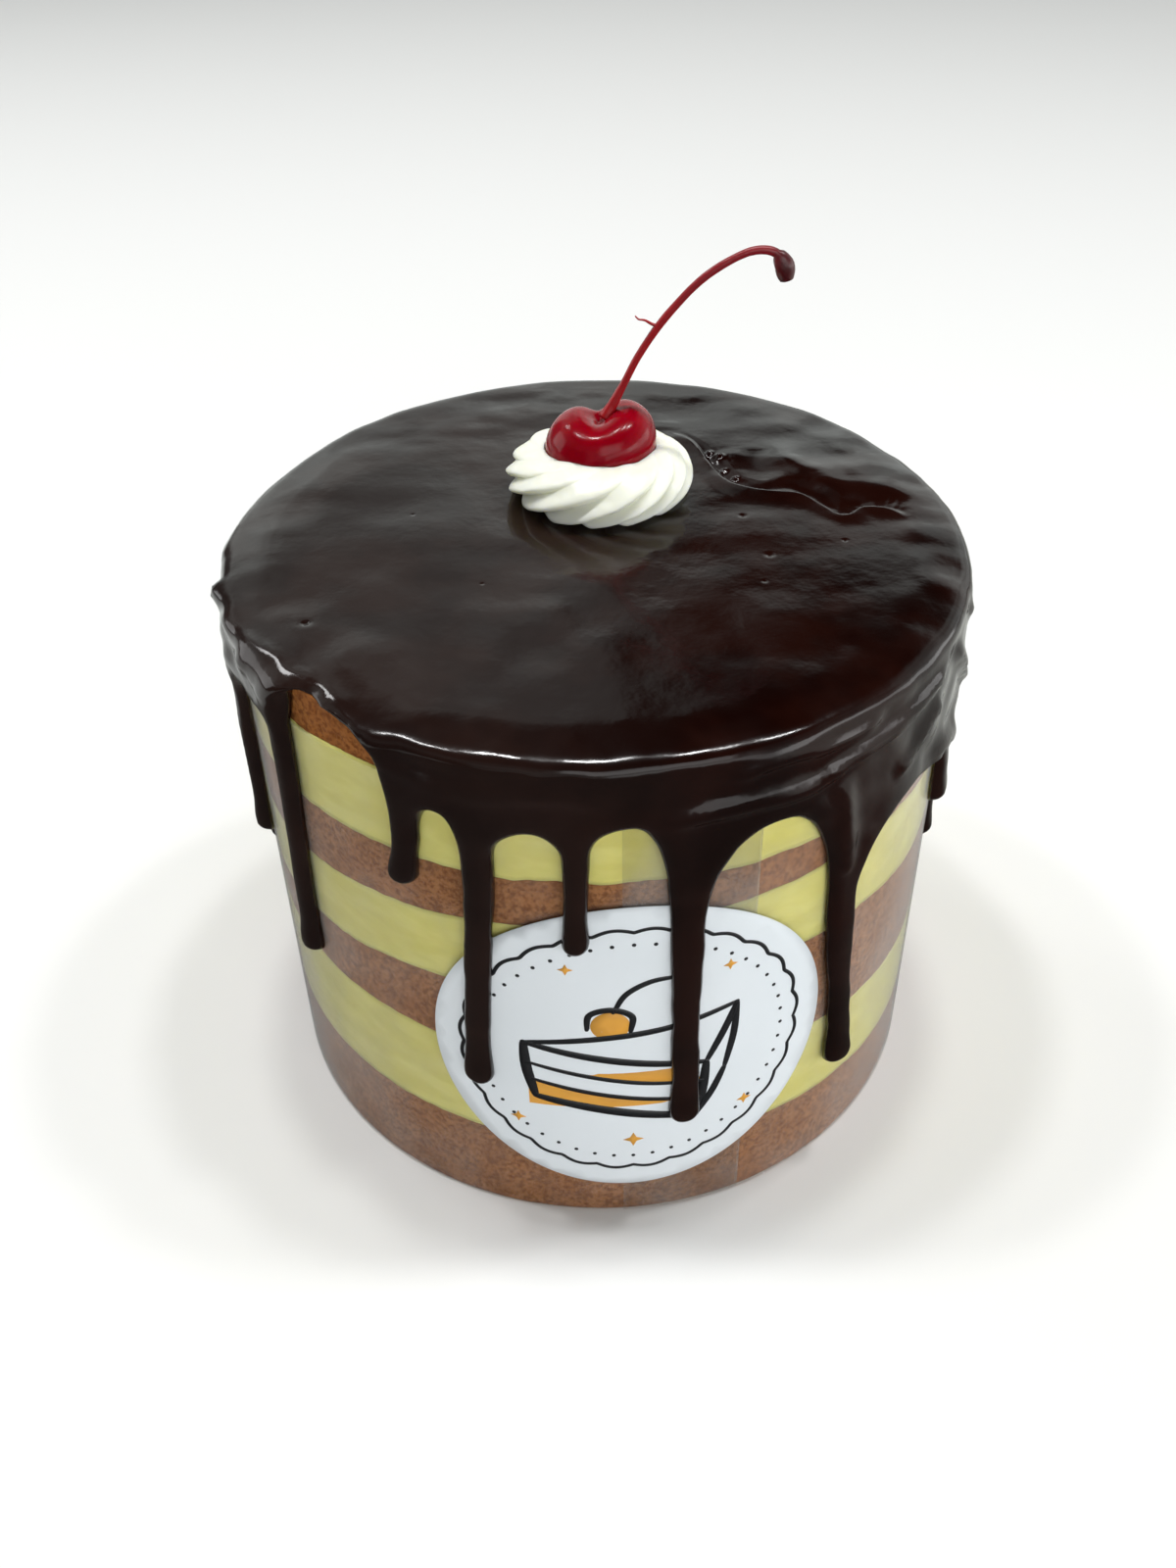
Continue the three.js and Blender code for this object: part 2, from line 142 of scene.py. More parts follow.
def lerp(start, end, share):
    return start + (end - start) * share


def bell(value, width):
    """A smooth bump: 1 where the value is 0, falling off over a width."""
    return np.exp(-((value / width) ** 2))


def window(value, start, full, fade, end):
    """1 between full and fade, easing down to 0 at start and end."""
    return smoothstep(value, start, full) * (1 - smoothstep(value, fade, end))


def around(angle, radius, height):
    """Points at angles round from the front, radii and heights, as an array with x, y, z last."""
    angle, radius, height = np.broadcast_arrays(angle, radius, height)
    return np.stack([radius * sine(angle), -radius * cosine(angle), height], axis=-1)


def on_plane(x, y):
    """Points at height 0, as an array with x, y, z last."""
    return np.stack([x, y, 0 * x], axis=-1)


def cell_value(cells, seed):
    """A fixed random number from -1 to 1 for each whole-numbered cell of space."""
    primes = np.array([73856093, 19349663, 83492791], dtype=np.int64)
    bits = (cells * primes).sum(axis=-1) + seed * 2654435761
    bits = (bits ^ (bits >> 15)) * 2246822519 & 0xFFFFFFFF
    bits = (bits ^ (bits >> 13)) * 3266489917 & 0xFFFFFFFF
    return ((bits ^ (bits >> 16)) & 0xFFFF) / 32767.5 - 1


def noise(points, size, seed):
    """Smooth noise from -1 to 1 whose features are about size across."""
    scaled = np.asarray(points, dtype=float) / size
    cell = np.floor(scaled).astype(np.int64)
    part = scaled - cell
    part = part * part * part * (part * (part * 6 - 15) + 10)
    total = np.zeros(scaled.shape[:-1])
    for corner in itertools.product((0, 1), repeat=3):
        weight = np.where(corner, part, 1 - part).prod(axis=-1)
        total += weight * cell_value(cell + np.array(corner), seed)
    return total


def rough_noise(points, size, seed, octaves=3):
    """Noise with finer detail at half the strength for each octave."""
    total = sum(noise(points, size / 2**n, seed + n) / 2**n for n in range(octaves))
    return total / (2 - 0.5 ** (octaves - 1))


# ---- Lines and sets of points ----

LEFTWARDS = np.array([[0, 1], [-1, 0]])  # turns directions in the plane to the left


def lengths(line):
    """The distance along a line to each of its points."""
    return np.concatenate([[0], np.cumsum(np.linalg.norm(np.diff(line, axis=0), axis=1))])


def evenly(line, count):
    """Evenly spaced points along a line, with both ends kept."""
    length = lengths(line)
    places = np.linspace(0, length[-1], count)
    return np.stack([np.interp(places, length, values) for values in line.T], axis=1)


def resampled(line, step):
    """Points spaced evenly along a line, close to step apart, with both ends kept."""
    return evenly(line, max(2, round(lengths(line)[-1] / step)) + 1)


def directions(line):
    """The unit direction of a line at each of its points."""
    along = np.gradient(line, axis=0)
    return along / np.linalg.norm(along, axis=1)[:, None]


def smooth_curve(line, count):
    """Evenly spaced points on a centripetal curve through the points of a line."""
    line = np.asarray(line, dtype=float)
    line = np.concatenate([[2 * line[0] - line[1]], line, [2 * line[-1] - line[-2]]])
    fine = []
    for a, b, c, d in zip(line, line[1:], line[2:], line[3:]):
        knots = np.cumsum([0] + [np.linalg.norm(q - p) ** 0.5 for p, q in ((a, b), (b, c), (c, d))])
        for t in np.linspace(knots[1], knots[2], 40, endpoint=False):
            def between(p, q, i, j):
                return ((knots[j] - t) * p + (t - knots[i]) * q) / (knots[j] - knots[i])
            first, second, third = between(a, b, 0, 1), between(b, c, 1, 2), between(c, d, 2, 3)
            fine.append(between(between(first, second, 0, 2), between(second, third, 1, 3), 1, 2))
    return evenly(np.array(fine + [line[-2]]), count)


def tree_of(points):
    """A search tree of points in the plane."""
    tree = KDTree(len(points))
    for number, (x, y) in enumerate(points):
        tree.insert((x, y, 0), number)
    tree.balance()
    return tree


# ---- Meshes ----


def piece(name, solid, material, replaced=None):
    """A smooth-shaded piece of the cake, from points in millimetres and faces, and the node it replaces."""
    points, faces = solid
    mesh = bpy.data.meshes.new(name)
    mesh.from_pydata((np.asarray(points, dtype=float) * MM).tolist(), [], faces)
    mesh.validate()
    mesh.shade_smooth()
    mesh.materials.append(material)
    item = bpy.data.objects.new(name, mesh)
    bpy.context.collection.objects.link(item)
    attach(item, "root")
    if replaced:
        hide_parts(replaced)


def grid_faces(rows, columns):
    """Quads between the rows of a grid, each row running anticlockwise and the rows running down."""
    row, column = np.meshgrid(np.arange(rows - 1), np.arange(columns), indexing="ij")
    after = (column + 1) % columns
    here, below = row * columns, (row + 1) * columns
    corners = [here + column, below + column, below + after, here + after]
    return np.stack(corners, axis=-1).reshape(-1, 4).tolist()


def fan_faces(ring, centre, upwards):
    """Triangles from a ring of point numbers, anticlockwise from above, to a centre point."""
    pairs = zip(ring, ring[1:] + ring[:1])
    return [(a, b, centre) if upwards else (b, a, centre) for a, b in pairs]


def round_solid(rows, top, bottom):
    """Points and faces of a closed form: rows of points round it from top to bottom, and two ends."""
    count, columns = rows.shape[:2]
    points = np.concatenate([rows.reshape(-1, 3), [top], [bottom]])
    faces = grid_faces(count, columns)
    faces += fan_faces(list(range(columns)), count * columns, True)
    last = list(range((count - 1) * columns, count * columns))
    faces += fan_faces(last, count * columns + 1, False)
    return points, faces


# ---- Sponge and cream layers ----

# Points round a layer, and the height between its rows of points.
EXPOSED_GRID = (1600, 0.32)
SPONGE_GRID = (720, 0.65)
CREAM_GRID = (480, 1.3)


def layer_edge(number, angle):
    """The height of the edge above a layer at the rim. The spread layers don't end quite evenly."""
    edge = LAYER_EDGES[number]
    level = edge["height"] + edge["lean"] * cosine(angle - edge["towards"])
    rim = around(angle, CAKE_RADIUS, edge["height"])
    return level + 0.45 * noise(rim, 9, 40 + number) + 0.3 * rough_noise(rim, 2.6, 60 + number)


def layer_rows(number, columns, row_height):
    """The side of a layer as rows of points, before any relief."""
    angle = full_turn(columns)
    above = layer_edge(number, angle) if number < len(LAYER_EDGES) else np.full(columns, CAKE_TOP)
    below = layer_edge(number - 1, angle) if number else np.zeros(columns)
    count = int((above - below).mean() / row_height) + 2
    share = np.linspace(0, 1, count)[:, None]
    return around(angle[None, :], CAKE_RADIUS, lerp(above, below, share))


def sponge_relief(points, exposed):
    """How far the crumb stands back from the rim. The film has pressed most of it nearly smooth."""
    pores = smoothstep(rough_noise(points, 1.1, 5), 0.1, 0.6)
    crust = rough_noise(points * [1, 1, 1.6], 2.4, 6, 4)
    open_crumb = 0.3 + 0.3 * crust + 0.3 * pores
    pressed = 0.1 + 0.06 * noise(points, 6, 7) + 0.12 * smoothstep(rough_noise(points, 1.6, 8), 0.3, 0.6)
    return open_crumb if exposed else pressed


def cream_relief(points):
    """How far the cream stands back from the rim: smooth, with shallow hollows."""
    return 0.06 + 0.06 * noise(points, 14, 9)


def stand_back(rows, relief):
    """The rows moved in from the rim by a relief."""
    inner = rows.copy()
    inner[..., :2] *= (1 - relief / CAKE_RADIUS)[..., None]
    return inner


def make_layer(number, material):
    is_sponge = number % 2 == 0
    slot = "sponge" if is_sponge else "pastry_cream"
    node = f"{slot}_{number // 2 + 1}"
    exposed = number == len(LAYER_EDGES)
    columns, row_height = EXPOSED_GRID if exposed else SPONGE_GRID if is_sponge else CREAM_GRID
    rows = layer_rows(number, columns, row_height)
    relief = sponge_relief(rows, exposed) if is_sponge else cream_relief(rows)
    top = CAKE_TOP if exposed else LAYER_EDGES[number]["height"]
    bottom = LAYER_EDGES[number - 1]["height"] if number else 0
    solid = round_solid(stand_back(rows, relief), (0, 0, top), (0, 0, bottom))
    piece(f"{node}_side", solid, material, node)


# ---- Clear collar ----

COLLAR_ROWS = 22
EDGE_LOOP = 0.04  # from the film's edges to the next row of points, which keeps the edges crisp


def make_collar(material):
    """A strip of film wound once round, its end lapped over its start."""
    length = 360 + SEAM["overlap"]
    along = np.arange(length + 1)
    lift = SEAM["lift"] * (1 - smoothstep(along, SEAM["overlap"], SEAM["overlap"] + SEAM["ramp"]))
    inner = COLLAR["inside"] + lift
    outer = inner + COLLAR["thickness"]
    rows = np.linspace(COLLAR["foot"] + EDGE_LOOP, COLLAR["top"] - EDGE_LOOP, COLLAR_ROWS)
    heights = np.concatenate([[COLLAR["foot"]], rows, [COLLAR["top"]]])
    angle = SEAM["angle"] + along
    inside = around(angle[:, None], inner[:, None], heights[None, :])
    outside = around(angle[:, None], outer[:, None], heights[None, ::-1])
    rings = np.concatenate([inside, outside], axis=1)
    size = rings.shape[1]
    last = (len(rings) - 1) * size
    faces = [face[::-1] for face in grid_faces(len(rings), size)]
    faces += [list(range(size))[::-1], list(range(last, last + size))]
    piece("clear_collar", (rings.reshape(-1, 3), faces), material, "collar")


# ---- Glaze ----
#
# The glaze is laid out flat: across is the distance round the cake at the inside of the skirt, and
# up is the height on the side, which carries on over the rounded rim and in towards the middle.

GLAZE_FOOTING = 74.5     # inner radius above the collar, where the glaze meets the sponge
GLAZE_ON_FILM = 75.0     # inner radius on the collar, away from the label and the lap
GLAZE_STEP = (116.1, 118.6)  # heights between which the inner radius narrows
INNER_RIM = 0.4          # radius of the inner face's rounded rim
RIM_LENGTH = 4.5         # length of the layout taken by the rim
JOIN_RADIUS = 66.0       # where the layout ends and the top's own mesh begins
RIM_START = GLAZE_UNDERSIDE - INNER_RIM
RIM_END = RIM_START + RIM_LENGTH
JOIN_UP = RIM_END + GLAZE_FOOTING - INNER_RIM - JOIN_RADIUS
AROUND = 2 * math.pi * GLAZE_INSIDE
EDGE_STEP = 0.7          # between points along the free edge
SEAM_STEP = 1.4          # between points up the seam where the layout's ends meet
FILL_STEP = 1.5          # between points inside the layout
RIM_STEPS = 360          # points round the layout's top row
TOP_STEP = 1.3           # between points in the top
CREASE_STEP = 0.5        # and within CREASE_REACH of the crease
CREASE_REACH = 7.0
EDGE_ROWS = (0.1, 0.35, 0.75, 1.3, 2.0)  # distances in from the free edge
BEAD = 2.6               # distance over which the free edge rounds up to full thickness
NOTCH = dict(angle=-42, span=9, foot=117, bead=4.4)  # where the top sponge shows at the left

# A lobe of glaze that hangs lower over the notch: its drop, and the angles over which it comes and goes.
NOTCH_LOBE = dict(drop=4.6, span=(-43.8, -40.2, -37, -31))


def all_drips():
    """The drips that show and those on the far side, in order from the middle of the back."""
    hidden = []
    for number in range(HIDDEN_DRIPS):
        drip = {}
        for name, (middle, swing, pace, start) in HIDDEN_VALUES.items():
            drip[name] = middle + swing * math.sin(pace * number + start)
        drip["angle"] = (drip["angle"] + HIDDEN_SPACING * number + 180) % 360 - 180
        hidden.append(drip)
    return sorted(SEEN_DRIPS + hidden, key=lambda drip: drip["angle"])


DRIPS = all_drips()


def across_of(angle):
    return np.asarray(angle) * AROUND / 360


def angle_of(across):
    return across * 360 / AROUND


def drip_centre(drip, up):
    """The middle of a drip at each height, as a distance across."""
    fallen = smoothstep(-up, -drip["root"], -drip["tip"])
    return across_of(drip["angle"] + drip["stray"] * fallen)


def drip_half_width(drip, up):
    """Half a drip's width: it narrows from the root and swells again just above its tip."""
    share = np.clip((drip["root"] - up) / (drip["root"] - drip["tip"]), 0, 1)
    body = 1.0 - 0.13 * smoothstep(share, 0, 0.45)
    bulb = 0.16 * bell(up - drip["tip"] - 0.55 * drip["width"], 0.75 * drip["width"])
    return drip["width"] / 2 * (body + bulb)


def drip_outline(drip):
    """A drip's free edge, down its left side, round the tip and up its right side."""
    half = drip["width"] / 2
    shoulder = drip["tip"] + half
    down = np.linspace(drip["root"], shoulder, 40)
    width = drip_half_width(drip, down)
    centre = drip_centre(drip, down)
    turn = np.linspace(180, 360, 17)[1:-1]
    tip_half = drip_half_width(drip, shoulder)
    tip_centre = drip_centre(drip, shoulder)
    tip = np.stack([tip_centre + tip_half * cosine(turn), shoulder + half * sine(turn)], axis=1)
    left = np.stack([centre - width, down], axis=1)
    right = np.stack([centre + width, down], axis=1)[::-1]
    return np.concatenate([left, tip, right])


def arch_outline(left, right, wrap):
    """The free edge of the skirt in the arch between two drips."""
    start = across_of(left["angle"]) + drip_half_width(left, left["root"])
    end = across_of(right["angle"]) + wrap - drip_half_width(right, right["root"])
    side = -cosine(np.linspace(0, 180, 41)[1:-1])
    root = np.where(side < 0, left["root"], right["root"])
    rise = (1 - np.abs(side) ** 2.2) ** (1 / 2.2)
    up = lerp(root, left["crown"], rise)
    return np.stack([lerp(start, end, (side + 1) / 2), up], axis=1)


def smoothed(line, reach):
    """A periodic line softened over a few points each way."""
    weights = bell(np.arange(-3 * reach, 3 * reach + 1), reach)
    weights /= weights.sum()
    before = line[-3 * reach - 1:-1] - [AROUND, 0]
    after = line[1:3 * reach + 1] + [AROUND, 0]
    padded = np.concatenate([before, line, after])
    return np.stack([np.convolve(padded[:, axis], weights, "valid") for axis in (0, 1)], axis=1)


def free_edge():
    """The whole free edge of the glaze, from one point on the far side round to the same point."""
    parts = []
    for number, drip in enumerate(DRIPS):
        following = DRIPS[(number + 1) % len(DRIPS)]
        wrap = AROUND if number == len(DRIPS) - 1 else 0
        parts += [drip_outline(drip), arch_outline(drip, following, wrap)]
    line = np.concatenate(parts)
    line = np.concatenate([line, [line[0] + [AROUND, 0]]])
    line = smoothed(resampled(line, 0.25), 2)
    angle = angle_of(line[:, 0])
    place = around(angle, GLAZE_INSIDE, line[:, 1])
    lobe = window(angle, *NOTCH_LOBE["span"])
    line[:, 0] += 0.22 * noise(place, 5, 21)
    line[:, 1] += 0.3 * noise(place, 4, 22) - NOTCH_LOBE["drop"] * lobe * smoothstep(line[:, 1], 118, 126)
    return resampled(line, EDGE_STEP)


class EdgeField:
    """Distances from the glaze's free edge, positive inside the glaze."""

    def __init__(self, line):
        self.inward = directions(line) @ LEFTWARDS
        self.tree = tree_of(np.concatenate([line + [shift, 0] for shift in (-AROUND, 0, AROUND)]))

    def distances(self, points):
        result = np.empty(len(points))
        for number, (across, up) in enumerate(points):
            near, index, distance = self.tree.find((across, up, 0))
            inward = self.inward[index % len(self.inward)]
            side = (across - near[0]) * inward[0] + (up - near[1]) * inward[1]
            result[number] = math.copysign(distance, side)
        return result


def nearest_drip(across, up):
    """For each place: the distance across to the nearest drip's middle, its half width, root and tip."""
    offsets = np.array([across - drip_centre(drip, up) for drip in DRIPS])
    offsets = np.abs((offsets + AROUND / 2) % AROUND - AROUND / 2)
    nearest = offsets.argmin(axis=0)
    half = np.choose(nearest, [drip_half_width(drip, up) for drip in DRIPS])
    root, tip = [np.choose(nearest, [drip[end] for drip in DRIPS]) for end in ("root", "tip")]
    return offsets.min(axis=0), half, root, tip


def polyline_distance(x, y, line):
    """Distance of each place from a line, positive on its left, and the share along the line."""
    best = np.full(x.shape, np.inf)
    signed = np.zeros(x.shape)
    share = np.zeros(x.shape)
    line = np.asarray(line, dtype=float)
    for number, (start, end) in enumerate(zip(line[:-1], line[1:])):
        along = end - start
        t = np.clip(((x - start[0]) * along[0] + (y - start[1]) * along[1]) / (along @ along), 0, 1)
        dx, dy = x - start[0] - t * along[0], y - start[1] - t * along[1]
        distance = np.hypot(dx, dy)
        closer = distance < best
        best = np.where(closer, distance, best)
        side = np.sign(along[0] * dy - along[1] * dx)
        signed = np.where(closer, side * distance, signed)
        share = np.where(closer, (number + t) / (len(line) - 1), share)
    return signed, share


# The crease in the top: its raised front lip, from behind the rosette out to the right.
CREASE = [
    (15.3, 44.4), (19.5, 41.8), (22.8, 36.9), (25.1, 29.9), (26.5, 25.4), (28.2, 21), (30.7, 18),
    (35.8, 15.3), (43.6, 14), (46.6, 11.1), (51.4, 5.1), (53.4, 5.4), (56, 8), (61.7, 6.8), (65, 3),
]
CREASE_SHARES = (0.0, 0.15, 0.25, 0.4, 0.55, 0.65, 0.8, 0.9, 1.0)
CREASE_DEPTHS = (0.1, 0.6, 1.3, 0.7, 0.6, 1.1, 1.4, 1.0, 0.1)
CREASE_WIDTHS = (4, 4, 5, 5, 7, 9, 11, 10, 8)
LIP = dict(height=0.4, front=2.6, back=1.0)

# The roll of glaze behind the crease: its line, from left to right, and its height and slopes.
ROLL_LINE = [
    (26.5, 31.5), (30, 32.5), (36.4, 32.5), (42, 29.3), (45.1, 26.2), (48.2, 23.8), (54, 21), (60, 17),
]
ROLL = dict(height=0.62, front=3.8, back=6.5, foot=7.5)

# Small bubbles and pits in the top: their places, radii and heights.
SPECKS = [
    (25.7, 33.7, 0.75, 0.8), (28.0, 31.7, 0.85, 0.9), (28.6, 26.1, 0.8, 0.5), (30.7, 22.3, 0.7, 0.7),
    (-54.6, -32.9, 0.85, -0.35), (30.9, 5.3, 0.7, -0.25), (34.9, -10.6, 0.75, -0.3),
    (32.9, -20.7, 0.45, -0.15), (50.6, -5.5, 0.45, -0.2), (-22, -20, 0.4, -0.12), (-38, 8, 0.4, -0.12),
]
# The lip inside the rim at the left: its crest's radius at some angles, its height, and the angles
# over which it comes and goes.
RIM_LIP = dict(
    angles=(-63, -59, -56, -53, -50.6, -46, -42, -38, -35),
    radii=(75.8, 74.7, 73.5, 72.7, 73.7, 72.8, 72.4, 73.5, 75.0),
    height=0.65,
    span=(-67, -60, -38, -34),
)
RIM_FALL = dict(start=65.5, end=74.4, depth=1.25, power=1.5)  # how the top falls towards the rim
THINNEST = 0.4


def crease_height(x, y):
    """The crease: a raised front lip, a trench behind it, and a roll of glaze behind the trench."""
    flat = on_plane(x, y)
    behind, share = polyline_distance(x, y, smooth_curve(CREASE, 64))
    past_roll, along = polyline_distance(x, y, smooth_curve(ROLL_LINE, 32))

    lip = LIP["height"] * bell(behind, np.where(behind < 0, LIP["front"], LIP["back"]))
    lip = lip * (1 + 0.55 * noise(flat, 7, 41))
    width = np.interp(share, CREASE_SHARES, CREASE_WIDTHS) * (1 + 0.2 * noise(flat, 9, 35))
    depth = np.interp(share, CREASE_SHARES, CREASE_DEPTHS) * (1 + 0.3 * noise(flat, 5, 36))
    trench = depth * smoothstep(behind, -0.1, 1.2) * (1 - smoothstep(behind, 0.3 * width, width))
    trench = trench * (1 - smoothstep(past_roll, -ROLL["foot"], 0) * smoothstep(behind, 0, 3))
    rumpled = smoothstep(behind, 0.5, 2.5) * (1 - smoothstep(past_roll, 0, 6))
    rumples = 0.24 * rumpled * noise(flat * [0.6, 1, 1], 3.6, 39)

    roll = ROLL["height"] * window(along, 0, 0.2, 0.7, 1)
    roll = roll * bell(past_roll, np.where(past_roll < 0, ROLL["front"], ROLL["back"]))
    roll = roll * (1 + 0.4 * noise(flat, 7, 38)) * smoothstep(behind, 0.5, 3)
    return window(share, 0, 0.12, 0.9, 1) * (lip - trench + rumples) + roll


def speck_height(x, y):
    return sum(height * bell(np.hypot(x - a, y - b), radius) for a, b, radius, height in SPECKS)


def rim_lip(angle, radius):
    """A raised lip inside the rim at the left, and notches in the rim at the right."""
    offset = radius - np.interp(angle, RIM_LIP["angles"], RIM_LIP["radii"])
    lip = RIM_LIP["height"] * window(angle, *RIM_LIP["span"]) * bell(offset, np.where(offset > 0, 1.2, 1.9))
    notched = 0.12 + 0.3 * bell(angle - 92, 38) * smoothstep(radius, 60, 72)
    return lip + notched * noise(on_plane(angle / 5.5, radius / 9), 1, 37) * smoothstep(radius, 55, 70)


def top_waves(x, y, radius):
    """Waves in the top: streaky at the back, lower near the rim and calmer at the front right."""
    flat = on_plane(x, y)
    streaky = 0.02 + 0.16 * smoothstep(0.5 * x + y, -5, 45)
    streaks = noise(flat * [0.4, 1, 1], 8, 33) + 0.5 * noise(flat * [0.5, 1, 1], 4, 34)
    waves = 0.42 * noise(flat, 26, 31) + 0.26 * noise(flat, 11, 32) + streaky * streaks
    calm = smoothstep(x - 0.5 * y, 8, 38) * (1 - smoothstep(y, -2, 14))
    return waves * (1 - 0.6 * smoothstep(radius, 66, 74)) * (1 - 0.5 * calm)


def sag(y, radius):
    """How far the top lies below its middle: a little all over and more at the rim, but not at the back."""
    outwards = (radius - RIM_FALL["start"]) / (RIM_FALL["end"] - RIM_FALL["start"])
    depth = RIM_FALL["depth"] * (1 - 0.85 * smoothstep(y, 25, 62))
    return 0.25 * (radius / GLAZE_INSIDE) ** 4 + depth * np.clip(outwards, 0, 1.2) ** RIM_FALL["power"]


def top_height(x, y):
    """The height of the glaze's upper surface."""
    radius = np.hypot(x, y)
    angle = np.degrees(np.arctan2(x, -y))
    from_rosette = np.hypot(x - ROSETTE_BASE[0], y - ROSETTE_BASE[1])
    uneven = smoothstep(from_rosette, 20, 32) * (top_waves(x, y, radius) + rim_lip(angle, radius))
    marks = smoothstep(from_rosette, 20.5, 24) * (crease_height(x, y) + speck_height(x, y))
    return np.maximum(GLAZE_TOP - sag(y, radius) + uneven + marks, GLAZE_UNDERSIDE + THINNEST)


# Ridges that flows of glaze have left on the side: their crests, as angles and heights, from left to
# right, with how high they stand.
FLOW_CRESTS = [
    (1.7, [(6, 112.5), (18, 113.5), (28, 113), (37, 115.5), (46, 116.2), (53, 118.5), (62, 121.5)]),
    (0.8, [(16, 119), (24, 122), (34, 120.5), (43, 122)]),
    (1.2, [(33, 111), (35.3, 107), (35.9, 98), (36.8, 86)]),
    (1.4, [(46, 104), (51, 106), (54, 110), (58, 113.5)]),
    (1.6, [(57, 97), (63, 97.5), (70, 93.5), (79, 86)]),
    (1.6, [(62, 121), (69, 112), (76, 103), (86, 97)]),
    (0.9, [(72, 122), (78, 116), (84, 108)]),
    (0.8, [(-58, 121.5), (-53, 121), (-50.5, 115), (-51.5, 106)]),
    (0.7, [(-80, 116), (-73, 119), (-66, 118.5), (-60, 116.5)]),
    (0.6, [(-31, 121.5), (-24, 118), (-15, 117.5), (-6, 119), (2, 117)]),
]
FLOW_REACH = (1.3, 2.6)  # how far a ridge spreads below and above its crest

# Lumps of glaze at the left of the rim: angle, height, spread across, spread upwards and thickness.
MOUNDS = [
    (-79, 125.0, 2.2, 2.2, 1.5),
    (-51.5, 120.5, 3.6, 4.6, 1.5),
    (-67, 117.0, 3.4, 4.4, 1.3),
    (-59.5, 124.0, 3.0, 2.0, 1.0),
]
THICKNESS = 1.05
THICKEST = 2.75
FULL_ABOVE = 2.1  # thicknesses above this are pressed together towards the thickest


def flow_relief(across, up):
    """How far the ridges of the flows stand out of the side."""
    total = np.zeros(len(across))
    for height, crest in FLOW_CRESTS:
        line = smooth_curve([(across_of(angle), level) for angle, level in crest], 24)
        signed, share = polyline_distance(across, up, line)
        reach = np.where(signed < 0, *FLOW_REACH)
        total = np.maximum(total, height * window(share, 0, 0.15, 0.85, 1) * bell(signed, reach))
    return total


def rim_lumps(across, up, place):
    """The uneven rim: most of all at the left, where the glaze has set in lumps."""
    angle = angle_of(across)
    left = bell(angle + 74, 22) + 0.3 * bell(angle + 33, 10)
    near_rim = window(up, 117, 122, RIM_END + 2, RIM_END + 8)
    lumps = (0.16 + 0.55 * left) * noise(place, 5.5, 27) * near_rim
    for middle, level, wide, tall, height in MOUNDS:
        lumps += height * bell(across - across_of(middle), wide) * bell(up - level, tall)
    return lumps


def bead_width(across, up):
    """The distance over which the free edge rounds up to full thickness: widest over the notch."""
    from_notch = np.abs(angle_of(across) - NOTCH["angle"]) / NOTCH["span"]
    at_notch = (1 - smoothstep(from_notch, 0.7, 1)) * smoothstep(up, NOTCH["foot"], NOTCH["foot"] + 5)
    return lerp(BEAD, NOTCH["bead"], at_notch)


def skirt_thickness(across, up, distance):
    """How thick the glaze lies at places on the layout, a given distance in from its free edge."""
    offset, half, root, tip = nearest_drip(across, up)
    in_drip = smoothstep(root - up, -5, 5) * smoothstep(half + 4 - offset, 0, 3)
    in_bulb = bell(up - tip - 3, 4)
    angle = angle_of(across)
    place = around(angle, GLAZE_INSIDE, up)
    thin_side = 0.5 * bell(angle - 88, 24) + 0.3 * window(angle, 0, 25, 55, 80)
    side = THICKNESS - thin_side + 0.6 * bell(distance - 2.5, 3)
    side = side + 0.3 * noise(place, 10, 24) + 0.26 * noise(place, 4.6, 25) + flow_relief(across, up)
    full = lerp(side, 2.0 + 0.6 * in_bulb, in_drip) + rim_lumps(across, up, place)
    spare = THICKEST - FULL_ABOVE
    full = np.where(full < FULL_ABOVE, full, FULL_ABOVE + spare * np.tanh((full - FULL_ABOVE) / spare))
    bead = lerp(bead_width(across, up), np.minimum(BEAD, 0.96 * half), in_drip)
    share = 1 - np.clip(distance / bead, 0, 1)
    return np.maximum(full, 0.5) * np.sqrt(1 - share**2)


def inner_step(angle, up):
    """How far the glaze's inner face lies within GLAZE_INSIDE. It clears the label and the lap."""
    from_label = np.hypot((angle - LABEL["angle"]) * 1.31, np.maximum(up - LABEL["height"], 0))
    near_label = 1 - smoothstep(from_label, LABEL["radius"] + 1, LABEL["radius"] + 7)
    lap_start, lap_end = SEAM["angle"], SEAM["angle"] + SEAM["overlap"] + SEAM["ramp"]
    near_lap = window(angle, lap_start - 4, lap_start - 1, lap_end - 8, lap_end)
    on_film = (GLAZE_INSIDE - GLAZE_ON_FILM) * (1 - np.maximum(near_label, 0.7 * near_lap))
    return lerp(on_film, GLAZE_INSIDE - GLAZE_FOOTING, smoothstep(up, *GLAZE_STEP))


